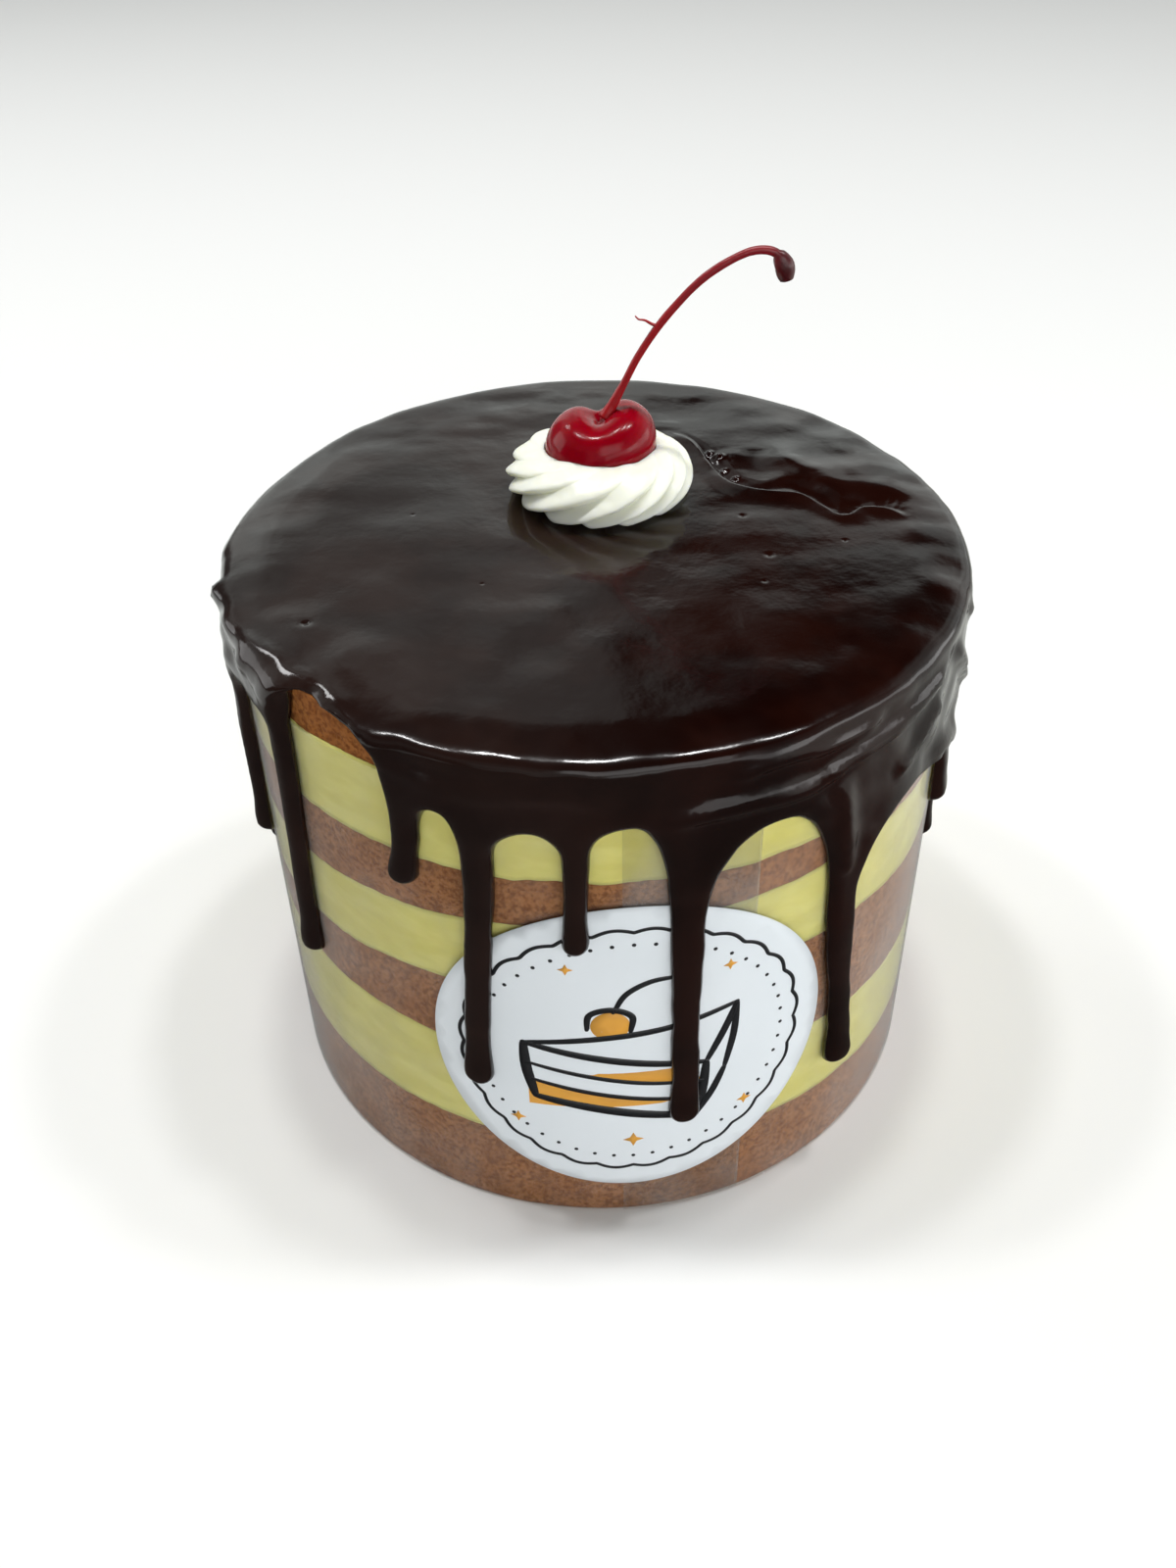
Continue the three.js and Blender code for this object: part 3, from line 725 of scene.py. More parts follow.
def glaze_point(across, up, distance, inner):
    """Places on the layout, as points on the glaze's outer or inner face."""
    angle = angle_of(across)
    step = inner_step(angle, up)
    turn = np.clip((up - RIM_START) / RIM_LENGTH, 0, 1) * 90
    rounding = np.clip(distance / bead_width(across, up), 0, 1)
    rounding = np.sqrt(1 - (1 - rounding) ** 2)
    depth = np.zeros(len(across))
    if not inner:
        side_depth = skirt_thickness(across, up, distance) + step * rounding
        depth = lerp(side_depth, (GLAZE_TOP - GLAZE_UNDERSIDE) * rounding, smoothstep(turn, 0, 90))
    inwards = np.maximum(up - RIM_END, 0)
    radius = np.where(
        up < RIM_START,
        GLAZE_INSIDE - step + depth,
        GLAZE_FOOTING - INNER_RIM + (INNER_RIM + depth) * cosine(turn) - inwards,
    )
    height = np.where(up < RIM_START, up, RIM_START + (INNER_RIM + depth) * sine(turn))
    points = around(angle, radius, height)
    if not inner:
        uneven = top_height(points[:, 0], points[:, 1]) - GLAZE_TOP
        points[:, 2] += uneven * smoothstep(up, RIM_START - 6, RIM_START) * rounding
    return points


def hex_grid(low, high, step):
    """Points of a hexagonal grid over a rectangle."""
    rise = step * math.sqrt(3) / 2
    rows = np.arange(low[1], high[1], rise)
    columns = np.arange(low[0], high[0], step)
    x, y = np.meshgrid(columns, rows)
    x = x + (np.arange(len(rows)) % 2)[:, None] * step / 2
    inside = x < high[0] - 0.25 * step
    return np.stack([x[inside], y[inside]], axis=1)


def triangulated(points, outline):
    """Triangles over points in the plane, within an outline given as point numbers in order."""
    coords = [Vector((float(x), float(y))) for x, y in points]
    _, _, faces, origins, _, within = delaunay_2d_cdt(coords, [], [outline], 1, 1e-6, True)
    return [[origins[corner][0] for corner in face] for face, owners in zip(faces, within) if owners]


def spread_out(points, gap, keep):
    """Drops points closer than gap to an earlier one. The first keep points always stay."""
    tree = tree_of(points)
    dropped = np.zeros(len(points), dtype=bool)
    for number in range(keep, len(points)):
        x, y = points[number]
        near = tree.find_range((x, y, 0), gap)
        dropped[number] = any(index < number and not dropped[index] for _, index, _ in near)
    return points[~dropped]


def glaze_layout():
    """The layout's points, their distances from the free edge, its triangles and its top row."""
    edge = free_edge()
    field = EdgeField(edge)
    left, bottom = edge[0]
    right = left + AROUND
    ups = np.linspace(bottom, JOIN_UP, round((JOIN_UP - bottom) / SEAM_STEP) + 1)[1:-1]
    tops = np.linspace(left, right, RIM_STEPS + 1)
    seam_left = np.stack([np.full(len(ups), left), ups], axis=1)
    seam_right = seam_left + [AROUND, 0]
    top_row = np.stack([tops, np.full(len(tops), JOIN_UP)], axis=1)
    fixed = np.concatenate([edge, seam_left, seam_right, top_row])

    starts = np.cumsum([0, len(edge), len(ups), len(ups), len(tops)])
    edge_at, left_at, right_at, top_at = [list(range(a, b)) for a, b in zip(starts, starts[1:])]
    outline = edge_at + right_at + top_at[::-1] + left_at[::-1]

    rows = [edge + depth * field.inward for depth in EDGE_ROWS]
    kept = [row[field.distances(row) > 0.93 * depth] for row, depth in zip(rows, EDGE_ROWS)]
    hexes = hex_grid((left - 8, edge[:, 1].min()), (right + 8, JOIN_UP - 0.8), FILL_STEP)
    hexes = hexes[field.distances(hexes) > EDGE_ROWS[-1] + 0.5]
    fill = np.concatenate(kept + [hexes])
    from_seam = np.abs(np.abs(fill[:, 0] - left - AROUND / 2) - AROUND / 2)
    beside_seam = (from_seam < 0.7) & (fill[:, 1] > bottom - 0.7)
    points = spread_out(np.concatenate([fixed, fill[~beside_seam]]), 0.09, len(fixed))
    distances = field.distances(points)
    distances[: len(edge)] = 0

    same = np.arange(len(points))
    same[right_at] = left_at
    same[edge_at[-1]] = edge_at[0]
    same[top_at[-1]] = top_at[0]
    faces = same[np.array(triangulated(points, outline))]
    return points, np.maximum(distances, 0), faces, edge_at, top_at[:-1]


def top_disc(ring):
    """Points and triangles within a ring, closer together along the crease and round the specks."""
    coarse = hex_grid((-JOIN_RADIUS, -JOIN_RADIUS), (JOIN_RADIUS, JOIN_RADIUS), TOP_STEP)
    fine = hex_grid((10, -2), (JOIN_RADIUS, 56), CREASE_STEP)
    finest = [hex_grid((x - 3 * r, y - 3 * r), (x + 3 * r, y + 3 * r), 0.25 * r) for x, y, r, _ in SPECKS]
    coarse_near, fine_near = [
        np.abs(polyline_distance(*places.T, CREASE)[0]) < CREASE_REACH for places in (coarse, fine)
    ]
    inside = np.concatenate(finest + [coarse[~coarse_near], fine[fine_near]])
    inside = inside[np.hypot(inside[:, 0], inside[:, 1]) < JOIN_RADIUS - 0.7]
    points = spread_out(np.concatenate([ring, inside]), 0.1, len(ring))
    faces = triangulated(points, list(range(len(ring))))
    return points, np.array(faces)


def glaze_solid():
    """The glaze as one closed form: outer and inner sheets that meet along the free edge."""
    layout, distances, sheet, edge_at, ring = glaze_layout()
    across, up = layout.T
    outer = glaze_point(across, up, distances, inner=False)
    inner = glaze_point(across, up, distances, inner=True)
    count = len(layout)
    to_inner = np.arange(count) + count
    to_inner[edge_at] = edge_at

    disc, disc_faces = top_disc(outer[ring][:, :2])
    inside = disc[len(ring):]
    disc_outer = np.column_stack([inside, top_height(inside[:, 0], inside[:, 1])])
    disc_inner = np.column_stack([inside, np.full(len(inside), GLAZE_UNDERSIDE)])
    points = np.concatenate([outer, inner, disc_outer, disc_inner])
    outer_at = np.concatenate([ring, 2 * count + np.arange(len(inside))])
    inner_at = np.concatenate([to_inner[ring], 2 * count + len(inside) + np.arange(len(inside))])
    faces = np.concatenate([
        sheet,
        to_inner[sheet][:, ::-1],
        outer_at[disc_faces],
        inner_at[disc_faces][:, ::-1],
    ])
    used, faces = np.unique(faces, return_inverse=True)
    return points[used], faces.reshape(-1, 3).tolist()


# ---- Cherry, stem and rosette ----

CHERRY_GRID = (90, 128)  # steps down from the top, and round
ROSETTE_GRID = (72, 480)
STEM_POINTS, STEM_SIDES = 110, 20
FIBRE_POINTS, FIBRE_SIDES = 16, 6


def cherry_hollow(angle, turn):
    """How much of its radius the cherry loses to its seam and its dimple, by direction."""
    offset = sine(turn) * sine(angle) - CHERRY["seam_offset"]
    towards_back = (1 - cosine(angle)) / 2
    fade = 1 - smoothstep(turn, lerp(14, 60, towards_back), lerp(60, 110, towards_back))
    seam = CHERRY["seam_depth"] * bell(offset, CHERRY["seam_width"]) * fade
    return seam + CHERRY["dimple_depth"] * bell(turn, CHERRY["dimple_turn"])


def make_cherry(material):
    angle = full_turn(CHERRY_GRID[1])
    turn = np.linspace(0, 180, CHERRY_GRID[0] + 1)[1:-1, None]
    direction = around(angle, sine(turn), cosine(turn))
    share = 1 - cherry_hollow(angle, turn) + 0.006 * noise(direction * 10, 4, 51)
    sideways = np.where(turn < 90, sine(angle) ** 2, 1)
    share = share * (1 + CHERRY["fullness"] * sine(2 * turn) ** 2 * sideways)
    rows = direction * CHERRY_HALF * share[..., None]
    rows[..., 2] += CHERRY["lean"] * rows[..., 0]
    upwards = np.array([0, 0, CHERRY_HALF[2]])
    top = CHERRY_MIDDLE + upwards * (1 - cherry_hollow(0, 0))
    solid = round_solid(CHERRY_MIDDLE + rows, top, CHERRY_MIDDLE - upwards)
    piece("cherry_skin", solid, material, "cherry")


def stem_thickness(share):
    """Half the stem's width: thick at its foot, slender, and swollen to a cut knob at its end."""
    body = np.interp(share, STEM_SHARES, STEM_THICKNESS)
    swelling = np.clip(sine(15 + 1450 * (share - STEM_SHARES[-1])), 0, 1)
    return body + STEM_KNOB * np.where(share < STEM_SHARES[-1], 0, swelling)


def tube(middles, thickness):
    """A closed tube round a line of points. The thickness is given by row and by side."""
    along = directions(middles)
    side = np.cross([0, 1, 0], along)
    side /= np.linalg.norm(side, axis=1)[:, None]
    other = np.cross(along, side)
    turn = full_turn(thickness.shape[1])
    ring = cosine(turn)[None, :, None] * side[:, None] + sine(turn)[None, :, None] * other[:, None]
    rows = middles[:, None] + ring * thickness[:, :, None]
    return round_solid(rows[::-1], middles[-1], middles[0])


def over_cherry(line):
    """A line drawn from the front, as (x, z) places, set level with the cherry's middle in depth."""
    return np.insert(line, 1, CHERRY_MIDDLE[1], axis=1)


def make_stem(material):
    middles = over_cherry(smooth_curve(STEM_LINE, STEM_POINTS))
    share = np.linspace(0, 1, len(middles))
    unrolled = around(full_turn(STEM_SIDES) + 90, 3, share[:, None] * 40)
    thickness = stem_thickness(share)[:, None] * (1 + 0.09 * noise(unrolled, 2.5, 52))
    fibre = over_cherry(smooth_curve(FIBRE_LINE, FIBRE_POINTS))
    taper = np.linspace(*FIBRE_THICKNESS, len(fibre))[:, None] * np.ones(FIBRE_SIDES)
    solid = joined([tube(middles, thickness), tube(fibre, taper)])
    piece("stem_skin", solid, material, "cherry_stem")


def rosette_rows():
    """Rows of points on the piped ring, from its inner edge over the top to the glaze."""
    angle = full_turn(ROSETTE_GRID[1])
    share = np.linspace(1, 0, ROSETTE_GRID[0])[:, None]
    turn = lerp(ROSETTE["start_turn"], ROSETTE["end_turn"], share)
    uneven_turn = angle + 5 * sine(angle - 40) + 3 * sine(3 * angle)
    place = (ROSETTE["ridges"] * uneven_turn / 360) % 1
    ridge = np.sin(math.pi * place**1.7) ** 0.8
    groove = lerp(ROSETTE["low_groove"], ROSETTE["high_groove"], smoothstep(share, 0.12, 0.55))
    size = 1 - groove * (1 - ridge)
    turned = angle + ROSETTE["twist"] * share**0.9
    rise = 1 + ROSETTE["lean"] * cosine(turned)
    radius = ROSETTE["ring_radius"] + ROSETTE["half_width"] * size * cosine(turn)
    height = rise * (ROSETTE["ring_height"] + ROSETTE["half_height"] * size * sine(turn))
    rows = around(turned, radius, np.maximum(height, 0))
    uneven = 0.25 * noise(rows, 5, 55) + 0.1 * noise(rows, 1.6, 56)
    rows[..., 2] += uneven * smoothstep(rows[..., 2], 0, 2)
    return rows + ROSETTE_BASE


def pressed_out(points, margin):
    """The points, with those inside the cherry moved out to just beyond its skin."""
    offset = points - CHERRY_MIDDLE
    offset[..., 2] -= CHERRY["lean"] * offset[..., 0]
    depth = np.linalg.norm(offset / (CHERRY_HALF + margin), axis=-1, keepdims=True)
    offset = offset / np.minimum(depth, 1)
    offset[..., 2] += CHERRY["lean"] * offset[..., 0]
    return offset + CHERRY_MIDDLE


def make_rosette(material):
    rows = pressed_out(rosette_rows(), 0.25)
    seat = CHERRY_MIDDLE - [0, 0, CHERRY_HALF[2] + 0.05]
    piece("rosette_cream", round_solid(rows, seat, ROSETTE_BASE), material, "rosette")


# ---- Label ----

# The inner and outer radii of the label's paper and inks.
LABEL_RADII = dict(paper=(75.3, 75.44), dark=(75.42, 75.49), amber=(75.42, 75.465))
SCALLOPED_RING = dict(radius=34.6, bulge=0.9, bulges=28, parts=12, width=0.8)
DOTTED_RING = dict(radius=31.4, dots=48, dot=0.42)
PEN_POINTS = 40  # along each pen stroke


def filled(outline, inside, outside):
    """A thin curved solid that fills an outline drawn on the label, as points and faces."""
    outline = np.asarray(outline, dtype=float)
    low, high = outline.min(axis=0), outline.max(axis=0)
    hexes = hex_grid(low, high, 3)
    near = [np.hypot(*(outline - point).T).min() for point in hexes]
    flat = np.concatenate([outline, hexes[np.array(near) > 1.2]]) if len(hexes) else outline
    faces = triangulated(flat, list(range(len(outline))))
    used = sorted({corner for face in faces for corner in face})
    renumber = {corner: number for number, corner in enumerate(used)}
    faces = [[renumber[corner] for corner in face] for face in faces]
    flat = flat[used]
    count, rim = len(flat), len(outline)
    angle = LABEL["angle"] + np.degrees(flat[:, 0] / outside)
    front = around(angle, outside, LABEL["height"] + flat[:, 1])
    back = around(angle, inside, LABEL["height"] + flat[:, 1])
    sides = [(a, a + count, b + count, b) for a, b in zip(range(rim), list(range(1, rim)) + [0])]
    backs = [[corner + count for corner in face[::-1]] for face in faces]
    return np.concatenate([front, back]), faces + backs + sides


def closed_line(line, step):
    """An outline's points, spaced close to step apart."""
    return resampled(np.concatenate([line, line[:1]]), step)[:-1]


def polar(turn, reach, x=0.0, y=0.0):
    """Points on the label at turns and distances from a place."""
    return np.stack([x + reach * cosine(turn), y + reach * sine(turn)], axis=-1)


def circle(radius, x=0.0, y=0.0, step=1.0):
    return polar(full_turn(max(12, round(2 * math.pi * radius / step))), radius, x, y)


def stroke(line, width):
    """The outline of a pen stroke along a line. The width is one number or one for each point."""
    line = np.asarray(line, dtype=float)
    along = directions(line)
    side = along @ LEFTWARDS * (np.ones(len(line)) * width / 2)[:, None]
    half = np.linalg.norm(side[[0, -1]], axis=1)
    caps = []
    for point, direction, reach in ((line[-1], along[-1], half[1]), (line[0], -along[0], half[0])):
        turn = np.array([-60, -30, 0, 30, 60])[:, None]
        caps.append(point + reach * (cosine(turn) * direction + sine(turn) * (direction @ LEFTWARDS)))
    return np.concatenate([line - side, caps[0], (line + side)[::-1], caps[1]])


def joined(solids):
    """Several solids' points and faces as one set."""
    points, faces, first = [], [], 0
    for some_points, some_faces in solids:
        points.append(some_points)
        faces += [[corner + first for corner in face] for face in some_faces]
        first += len(some_points)
    return np.concatenate(points), faces


def pen(*corners, width):
    """A curved pen stroke through some points, tapered a little at both ends."""
    share = np.linspace(0, 1, PEN_POINTS)
    return stroke(smooth_curve(corners, PEN_POINTS), width * (0.55 + 0.45 * np.sin(math.pi * share) ** 0.5))


def label_drawing():
    """The label's drawing: outlines for the dark ink and for the amber ink."""
    turn = full_turn(360)
    ring, part = SCALLOPED_RING, 360 // SCALLOPED_RING["parts"]
    rim = polar(turn, ring["radius"] + ring["bulge"] * np.abs(sine(ring["bulges"] / 2 * turn)))
    dark = [stroke(rim[start:start + part + 1], ring["width"]) for start in range(0, 360, part)]
    for x, y in polar(full_turn(DOTTED_RING["dots"]), DOTTED_RING["radius"]):
        dark.append(circle(DOTTED_RING["dot"], x, y, 0.25))
    dark += [
        pen((-22, 3.5), (-8, 5.6), (8, 7.8), (21, 11), width=1.6),
        pen((-22, 3.5), (-10, 0.5), (4, -2.6), (15, -4.6), width=1.9),
        pen((21, 11), (18.6, 4), (15, -4.6), width=1.7),
        pen((15, -4.6), (14.4, -13), (13.2, -20.6), width=2.2),
        pen((21, 11), (20.6, 2), (19, -7.5), width=1.6),
        pen((13.2, -20.6), (16.6, -14), (19, -7.5), width=1.7),
        pen((-22, 3.5), (-21.6, -4), (-20, -12.4), width=2.3),
        pen((-20, -12.4), (-8, -15.4), (2, -18), (13.2, -20.6), width=2.4),
        pen((-21.5, -2.4), (-9, -5.6), (3, -8.4), (14.4, -10.2), width=1.2),
        pen((-20.8, -7.3), (-9, -10.5), (2, -13.1), (13.9, -15.3), width=1.2),
        pen((-4, 13.2), (-1.5, 18.2), (3.2, 21.2), (8.4, 21.8), width=1.3),
        pen((-9.2, 8.4), (-8.6, 12.6), (-4.4, 14), (-0.4, 12), (-0.6, 7.6), width=1.5),
    ]
    layer = [
        (-21.4, -2.6), (-9, -5.8), (3, -8.6), (14.3, -10.4),
        (13.9, -15.2), (2, -13), (-9, -10.4), (-20.7, -7.2),
    ]
    amber = [closed_line(np.array(layer), 1.2), circle(3.9, -4.6, 9.4, 0.7)]
    for x, y, size in ((-24, -20, 1.7), (24, -20, 1.7), (0, -26, 2.2), (-13, 25, 1.5), (19, 22, 1.5)):
        amber.append(polar(full_turn(8) + 45, size * np.where(np.arange(8) % 2, 1, 0.42), x, y))
    return dark, amber


def make_label(paper, dark_ink, amber_ink):
    disc = filled(circle(LABEL["radius"], step=1.2), *LABEL_RADII["paper"])
    piece("label_disc", disc, paper, "label")
    for name, outlines, ink in zip(("dark", "amber"), label_drawing(), (dark_ink, amber_ink)):
        solid = joined([filled(outline, *LABEL_RADII[name]) for outline in outlines])
        piece(f"label_print_{name}", solid, ink)


# ---- Materials ----


class Nodes:
    """A node tree, with short ways to add to it."""

    def __init__(self, tree):
        self.tree = tree

    def add(self, kind, inputs=None, **settings):
        """A node with its settings, and its inputs set to values or joined to other nodes."""
        node = self.tree.nodes.new(f"ShaderNode{kind}")
        for key, value in settings.items():
            setattr(node, key, value)
        self.fill(node, inputs or {})
        return node

    def fill(self, node, inputs):
        for key, value in inputs.items():
            if isinstance(value, bpy.types.NodeSocket):
                self.tree.links.new(value, node.inputs[key])
            else:
                node.inputs[key].default_value = value

    def ramp(self, value, low, high, start=0.0, end=1.0):
        """The value's place between low and high, smoothly, as a number from start to end."""
        inputs = {0: value, 1: low, 2: high, 3: start, 4: end}
        return self.add("MapRange", inputs, interpolation_type="SMOOTHSTEP").outputs[0]

    def mix(self, share, first, second, blend="MIX"):
        inputs = {0: share, 6: first, 7: second}
        return self.add("Mix", inputs, data_type="RGBA", blend_type=blend).outputs[2]

    def maths(self, operation, first, second=0.0, third=0.0):
        inputs = {0: first, 1: second, 2: third}
        return self.add("Math", inputs, operation=operation).outputs[0]

    def product(self, *factors):
        return functools.reduce(lambda first, second: self.maths("MULTIPLY", first, second), factors)


class Surface(Nodes):
    """A material's nodes, worked in millimetres on the cake."""

    def __init__(self, name):
        self.material = bpy.data.materials.new(name)
        self.material.use_nodes = True
        super().__init__(self.material.node_tree)
        self.shader = self.tree.nodes["Principled BSDF"]
        place = self.add("TexCoord").outputs["Object"]
        self.place = self.add("VectorMath", {0: place, 3: 1000.0}, operation="SCALE").outputs[0]

    def noise(self, size, detail=2.0, roughness=0.5, stretch=(1, 1, 1)):
        """Noise from 0 to 1 with features of a size in millimetres."""
        place = self.add("VectorMath", {0: self.place, 1: stretch}, operation="MULTIPLY").outputs[0]
        inputs = {"Vector": place, "Scale": 1 / size, "Detail": detail, "Roughness": roughness}
        return self.add("TexNoise", inputs).outputs["Fac"]

    def axis(self, name):
        return self.add("SeparateXYZ", {0: self.place}).outputs[name]

    def bump(self, height, depth):
        """A surface normal raised by a height from 0 to 1, whose 1 is a depth in millimetres."""
        return self.add("Bump", {"Height": height, "Distance": depth * MM}).outputs["Normal"]

    def set(self, **inputs):
        """Sets the shader's inputs, named in lower case with underscores."""
        for key, value in inputs.items():
            self.fill(self.shader, {key.replace("_", " ").title().replace("Ior", "IOR"): value})


def glaze_material():
    """Chocolate, with painted sheen: lighter and greyer at the left, and painted shade, darker and redder,
    at the right.
    """
    surface = Surface("chocolate_glaze")
    patches = surface.ramp(surface.noise(24, 3, 0.55), 0.4, 0.62)
    # Painted sheen at the left and painted shade at the right, blended across by X below.
    painted_sheen_grey = surface.mix(patches, (0.0095, 0.004, 0.0032, 1), (0.015, 0.0066, 0.005, 1))
    painted_shade_red = surface.mix(patches, (0.005, 0.0009, 0.0005, 1), (0.011, 0.0024, 0.0014, 1))
    surface.set(
        base_color=surface.mix(surface.ramp(surface.axis("X"), -18, 30), painted_sheen_grey, painted_shade_red),
        roughness=surface.ramp(surface.noise(9, 2), 0.3, 0.7, 0.1, 0.17),
        specular_ior_level=0.32,
        normal=surface.bump(surface.noise(7, 3, 0.5), 0.12),
    )
    return surface.material


def sponge_material():
    """Crumb with painted shade in its pores. Above the film it is drier and darker."""
    surface = Surface("sponge")
    mottle = surface.ramp(surface.noise(7, 3), 0.35, 0.65)
    # Painted shade in the pores: dark speckles mixed into the crumb colour below.
    pores = surface.ramp(surface.noise(1.1, 4, 0.65), 0.36, 0.6)
    light = surface.mix(mottle, (0.32, 0.126, 0.037, 1), (0.39, 0.163, 0.053, 1))
    colour = surface.mix(pores, (0.2, 0.067, 0.015, 1), light)
    above_film = surface.ramp(surface.axis("Z"), 113.5, 116.5)
    surface.set(
        base_color=surface.mix(above_film, colour, (0.84, 0.72, 0.46, 1), "MULTIPLY"),
        roughness=0.9,
        specular_ior_level=0.25,
        subsurface_weight=0.12,
        subsurface_radius=(0.8, 0.35, 0.15),
        subsurface_scale=0.002,
        normal=surface.bump(surface.noise(0.6, 4, 0.7), 0.12),
    )
    return surface.material


def cream_material():
    surface = Surface("pastry_cream")
    smears = surface.ramp(surface.noise(10, 3, 0.5, stretch=(1, 1, 2.5)), 0.35, 0.7)
    surface.set(
        base_color=surface.mix(smears, (0.72, 0.66, 0.175, 1), (0.8, 0.745, 0.235, 1)),
        roughness=0.42,
        specular_ior_level=0.4,
        subsurface_weight=0.35,
        subsurface_radius=(1.0, 0.8, 0.3),
        subsurface_scale=0.003,
        normal=surface.bump(surface.noise(5, 3), 0.15),
    )
    return surface.material


def stem_material():
    surface = Surface("cherry_stem")
    along = surface.axis("X")
    low_red = surface.mix(surface.ramp(along, 8, 24), (0.34, 0.004, 0.008, 1), (0.22, 0.004, 0.01, 1))
    surface.set(
        base_color=surface.mix(surface.ramp(along, 34, 37.5), low_red, (0.06, 0.004, 0.006, 1)),
        roughness=0.34,
        subsurface_weight=0.2,
        subsurface_radius=(1.0, 0.1, 0.08),
        subsurface_scale=0.001,
        normal=surface.bump(surface.noise(1.2, 2), 0.1),
    )
    return surface.material


def two_tone_material(name, tones, relief=None, **inputs):
    """A material that drifts between two tones. A noise's size and detail lead both tones and relief."""
    surface = Surface(name)
    size, detail, first, second = tones
    surface.set(base_color=surface.mix(surface.noise(size, detail), first, second), **inputs)
    if relief:
        size, detail, depth = relief
        surface.set(normal=surface.bump(surface.noise(size, detail), depth))
    return surface.material


def whipped_material():
    return two_tone_material(
        "whipped_cream",
        tones=(6, 2, (0.80, 0.81, 0.68, 1), (0.85, 0.86, 0.77, 1)),
        relief=(1.5, 3, 0.05),
        roughness=0.38,
        subsurface_weight=0.5,
        subsurface_radius=(1.0, 0.95, 0.6),
        subsurface_scale=0.003,
    )


def cherry_material():
    return two_tone_material(
        "cherry_skin",
        tones=(6, 3, (0.17, 0.0, 0.004, 1), (0.28, 0.0, 0.008, 1)),
        relief=(3.5, 2, 0.08),
        roughness=0.17,
        specular_ior_level=0.19,
        subsurface_weight=0.6,
        subsurface_radius=(1.0, 0.08, 0.06),
        subsurface_scale=0.004,
    )


def paper_material():
    tones = (20, 2, (0.74, 0.79, 0.83, 1), (0.78, 0.82, 0.86, 1))
    return two_tone_material("label_paper", tones, relief=(14, 2, 0.3), roughness=0.42)


def ink_material(name, first, second):
    return two_tone_material(name, tones=(5, 2, first, second), roughness=0.45)


def film_material():
    """Clear film, faintly fogged by moisture from the cake, with a painted sheen: a white veil that grows
    towards grazing angles. It also mirrors more at grazing angles.
    """
    surface = Surface("clear_film")
    facing = surface.add("LayerWeight", {"Blend": 0.5}).outputs["Facing"]
    mirrored = surface.maths("MULTIPLY_ADD", surface.maths("POWER", facing, 5.0), 0.5, 0.04)
    clear = surface.add("BsdfTransparent", {"Color": (0.99, 0.99, 0.985, 1)})
    # A diffuse white veil: moisture haze and painted sheen.
    moisture_and_sheen_veil = surface.add("BsdfDiffuse", {"Color": (0.8, 0.8, 0.8, 1)})
    patches = surface.ramp(surface.noise(16, 3), 0.35, 0.7, 0.0, 0.045)
    # Painted sheen: the white veil grows at grazing angles, added to the random moisture patches.
    moisture_and_painted_sheen = surface.maths("MULTIPLY_ADD", surface.maths("POWER", facing, 4.0), 0.4, patches)
    body = surface.add("MixShader", {0: moisture_and_painted_sheen, 1: clear.outputs[0], 2: moisture_and_sheen_veil.outputs[0]})
    ripple = surface.bump(surface.noise(30, 2, 0.4), 0.4)
    gloss = surface.add("BsdfGlossy", {"Roughness": 0.05, "Normal": ripple})
    mixed = surface.add("MixShader", {0: mirrored, 1: body.outputs[0], 2: gloss.outputs[0]})
    surface.fill(surface.tree.nodes["Material Output"], {"Surface": mixed.outputs[0]})
    surface.tree.nodes.remove(surface.shader)
    return surface.material


def floor_material():
    """A plain pale floor. Where the cake mirrors it, it shows painted shade in front and painted light,
    paler, at both sides.
    """
    surface = Surface("floor")
    mirrored = surface.add("LightPath").outputs["Is Glossy Ray"]
    across, back = surface.axis("X"), surface.axis("Y")
    rightwards = surface.maths("MULTIPLY_ADD", back, 0.8, across)
    leftwards = surface.maths("MULTIPLY_ADD", across, -1.0, surface.maths("MULTIPLY", back, 0.6))
    # Painted shade and light seen only in reflections: dark in front, paler to the right and the left.
    painted_mirror_tone = surface.mix(surface.ramp(rightwards, 110, 240), (0.09, 0.085, 0.08, 1), (0.55, 0.56, 0.53, 1))
    painted_mirror_tone = surface.mix(surface.ramp(leftwards, 200, 270), painted_mirror_tone, (0.8, 0.82, 0.8, 1))
    surface.set(
        base_color=surface.mix(mirrored, (0.82, 0.82, 0.81, 1), painted_mirror_tone),
        roughness=0.9,
        specular_ior_level=0.1,
    )
    return surface.material


# ---- Room, light and camera, in metres ----

FLOOR_HALF = 4.0

# Area lights: their places, what they point at, their sizes and their power.
LIGHTS = [
    ("front", (0.5, -1.9, 1.1), (0, 0, 0.08), (1.6, 1.0), 11.3),
    ("window", (-1.5, 0.45, 0.5), (0, 0, 0.1), (0.9, 0.7), 4),
    ("back", (-0.85, 0.75, 1.1), (0, 0, 0.1), (0.22, 0.22), 2),
    ("side", (1.1, -0.15, 0.2), (0, 0, 0.11), (1.5, 0.34), 3.6),
    ("low", (0.66, -0.78, 0.2), (0, 0, 0.12), (1.4, 0.24), 1.7),
]
CEILING_LIGHTS = dict(across=(-0.8, -0.4, 0, 0.4, 0.8), y=0.12, z=1.75, size=(0.14, 0.14), power=6)
CAMERA = dict(place=(0, -0.2659, 0.2762), pitch=39.09, yaw=-0.54, roll=-1.27, lens=33.6)


def make_floor():
    mesh = bpy.data.meshes.new("floor")
    corners = [(x * FLOOR_HALF, y * FLOOR_HALF, 0) for x, y in ((-1, -1), (1, -1), (1, 1), (-1, 1))]
    mesh.from_pydata(corners, [], [(0, 1, 2, 3)])
    mesh.materials.append(floor_material())
    floor = bpy.data.objects.new("floor", mesh)
    bpy.context.collection.objects.link(floor)


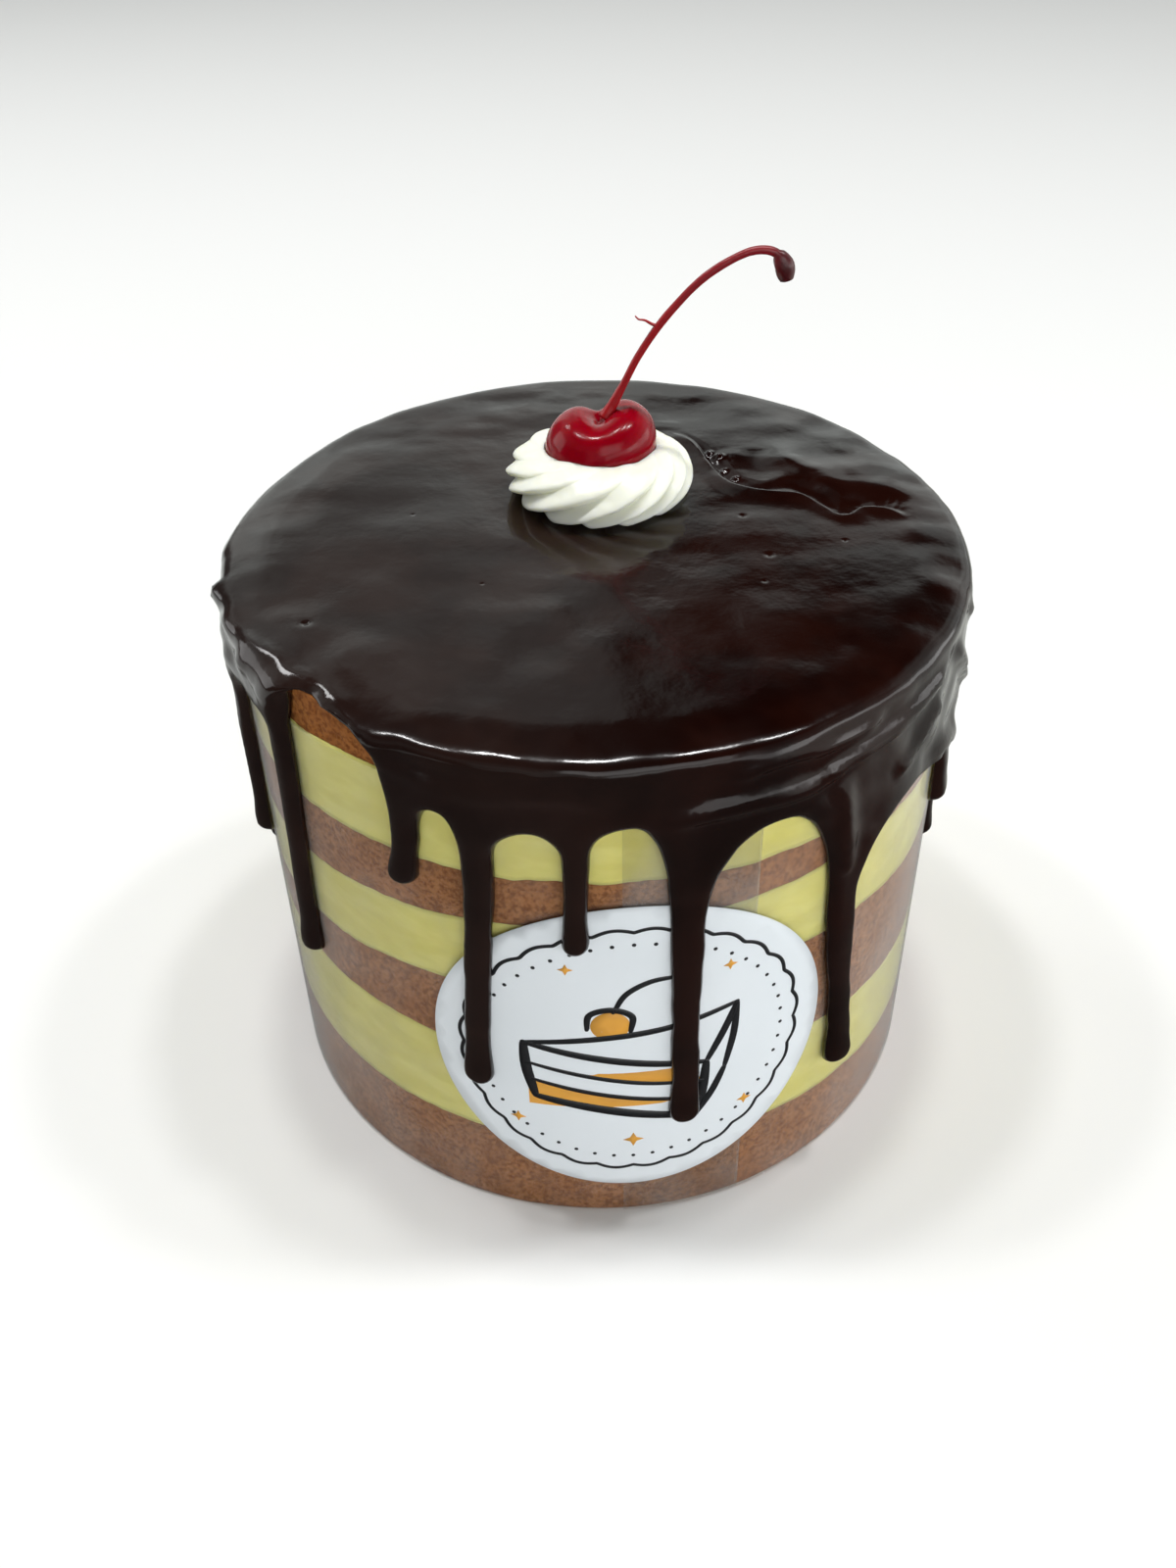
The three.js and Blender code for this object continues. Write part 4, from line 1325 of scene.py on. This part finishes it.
def make_world():
    """A dim room: lighter low down at the back and all along the left, and dark high up at the right.

    The top of the glaze mirrors the back of the room, so its front right half turns dark. The room
    itself looks plain and pale.
    """
    world = bpy.data.worlds.new("room")
    bpy.context.scene.world = world
    world.use_nodes = True
    room = Nodes(world.node_tree)
    direction = room.add("TexCoord").outputs["Generated"]
    right, back, height = room.add("SeparateXYZ", {0: direction}).outputs
    mottle = room.add("TexNoise", {"Vector": direction, "Scale": 7}).outputs["Fac"]
    ragged = room.maths("ADD", right, room.ramp(mottle, 0.3, 0.7, -0.05, 0.05))
    dark_corner = room.product(
        room.ramp(ragged, -0.02, 0.05),
        room.ramp(right, 0.4, 0.6, 1, 0),
        room.ramp(height, 0.46, 0.54),
    )
    low_left = room.product(room.ramp(right, -0.6, -0.4, 1, 0), room.ramp(height, 0.34, 0.5, 1, 0))
    seen = room.add("LightPath").outputs["Is Camera Ray"]
    brightness = room.product(
        room.ramp(dark_corner, 0, 1, 1, 0.03),
        room.ramp(height, 0.36, 0.54, 1.0, 0.5),
        room.ramp(height, 0.64, 0.78, 1, 0.13),
        room.ramp(low_left, 0, 1, 1, 0.12),
        room.ramp(back, -0.3, 0.3, 0.4, 1),
        room.ramp(mottle, 0.4, 0.6, 0.75, 1.15),
        room.ramp(seen, 0, 1, 1, 0),
    )
    strength = room.maths("ADD", brightness, room.ramp(seen, 0, 1, 0, 0.85))
    room.fill(room.tree.nodes["Background"], {"Strength": strength, "Color": (0.94, 1.0, 0.97, 1)})


def make_light(name, place, target, size, power):
    light = bpy.data.lights.new(name, "AREA")
    light.shape = "RECTANGLE"
    light.size, light.size_y = size
    light.energy = power
    lamp = bpy.data.objects.new(name, light)
    lamp.location = place
    lamp.rotation_euler = (Vector(target) - Vector(place)).to_track_quat("-Z", "Y").to_euler()
    lamp.visible_camera = False
    bpy.context.collection.objects.link(lamp)


def make_lights():
    for number, x in enumerate(CEILING_LIGHTS["across"], start=1):
        place = (x, CEILING_LIGHTS["y"], CEILING_LIGHTS["z"])
        make_light(f"ceiling_{number}", place, (0, 0, 0.1), CEILING_LIGHTS["size"], CEILING_LIGHTS["power"])
    for light in LIGHTS:
        make_light(*light)


def make_camera():
    """The camera where the photograph was taken from, a little turned and tilted."""
    pitch, yaw, roll = [math.radians(CAMERA[name]) for name in ("pitch", "yaw", "roll")]
    forward = Vector((math.sin(yaw) * math.cos(pitch), math.cos(yaw) * math.cos(pitch), -math.sin(pitch)))
    level = Vector((math.cos(yaw), -math.sin(yaw), 0))
    upright = level.cross(forward)
    right = math.cos(roll) * level + math.sin(roll) * upright
    up = math.cos(roll) * upright - math.sin(roll) * level
    turned = Matrix((right, up, -forward)).transposed().to_4x4()
    data = bpy.data.cameras.new("camera")
    data.sensor_width = 36
    data.lens = CAMERA["lens"]
    data.clip_end = 20
    camera = bpy.data.objects.new("camera", data)
    camera.matrix_world = Matrix.Translation(CAMERA["place"]) @ turned
    bpy.context.collection.objects.link(camera)
    bpy.context.scene.camera = camera


# ---- The cake ----


def make_cake():
    sponge, cream = sponge_material(), cream_material()
    for number in range(len(LAYER_EDGES) + 1):
        make_layer(number, cream if number % 2 else sponge)
    make_collar(film_material())
    dark = ink_material("dark_ink", (0.008, 0.009, 0.012, 1), (0.014, 0.015, 0.018, 1))
    amber = ink_material("amber_ink", (0.72, 0.33, 0.03, 1), (0.8, 0.38, 0.045, 1))
    make_label(paper_material(), dark, amber)
    piece("glaze_coat", glaze_solid(), glaze_material(), "glaze")
    make_rosette(whipped_material())
    make_cherry(cherry_material())
    make_stem(stem_material())


make_cake()
make_floor()
make_world()
make_lights()
make_camera()
bpy.context.scene.view_settings.view_transform = "Standard"
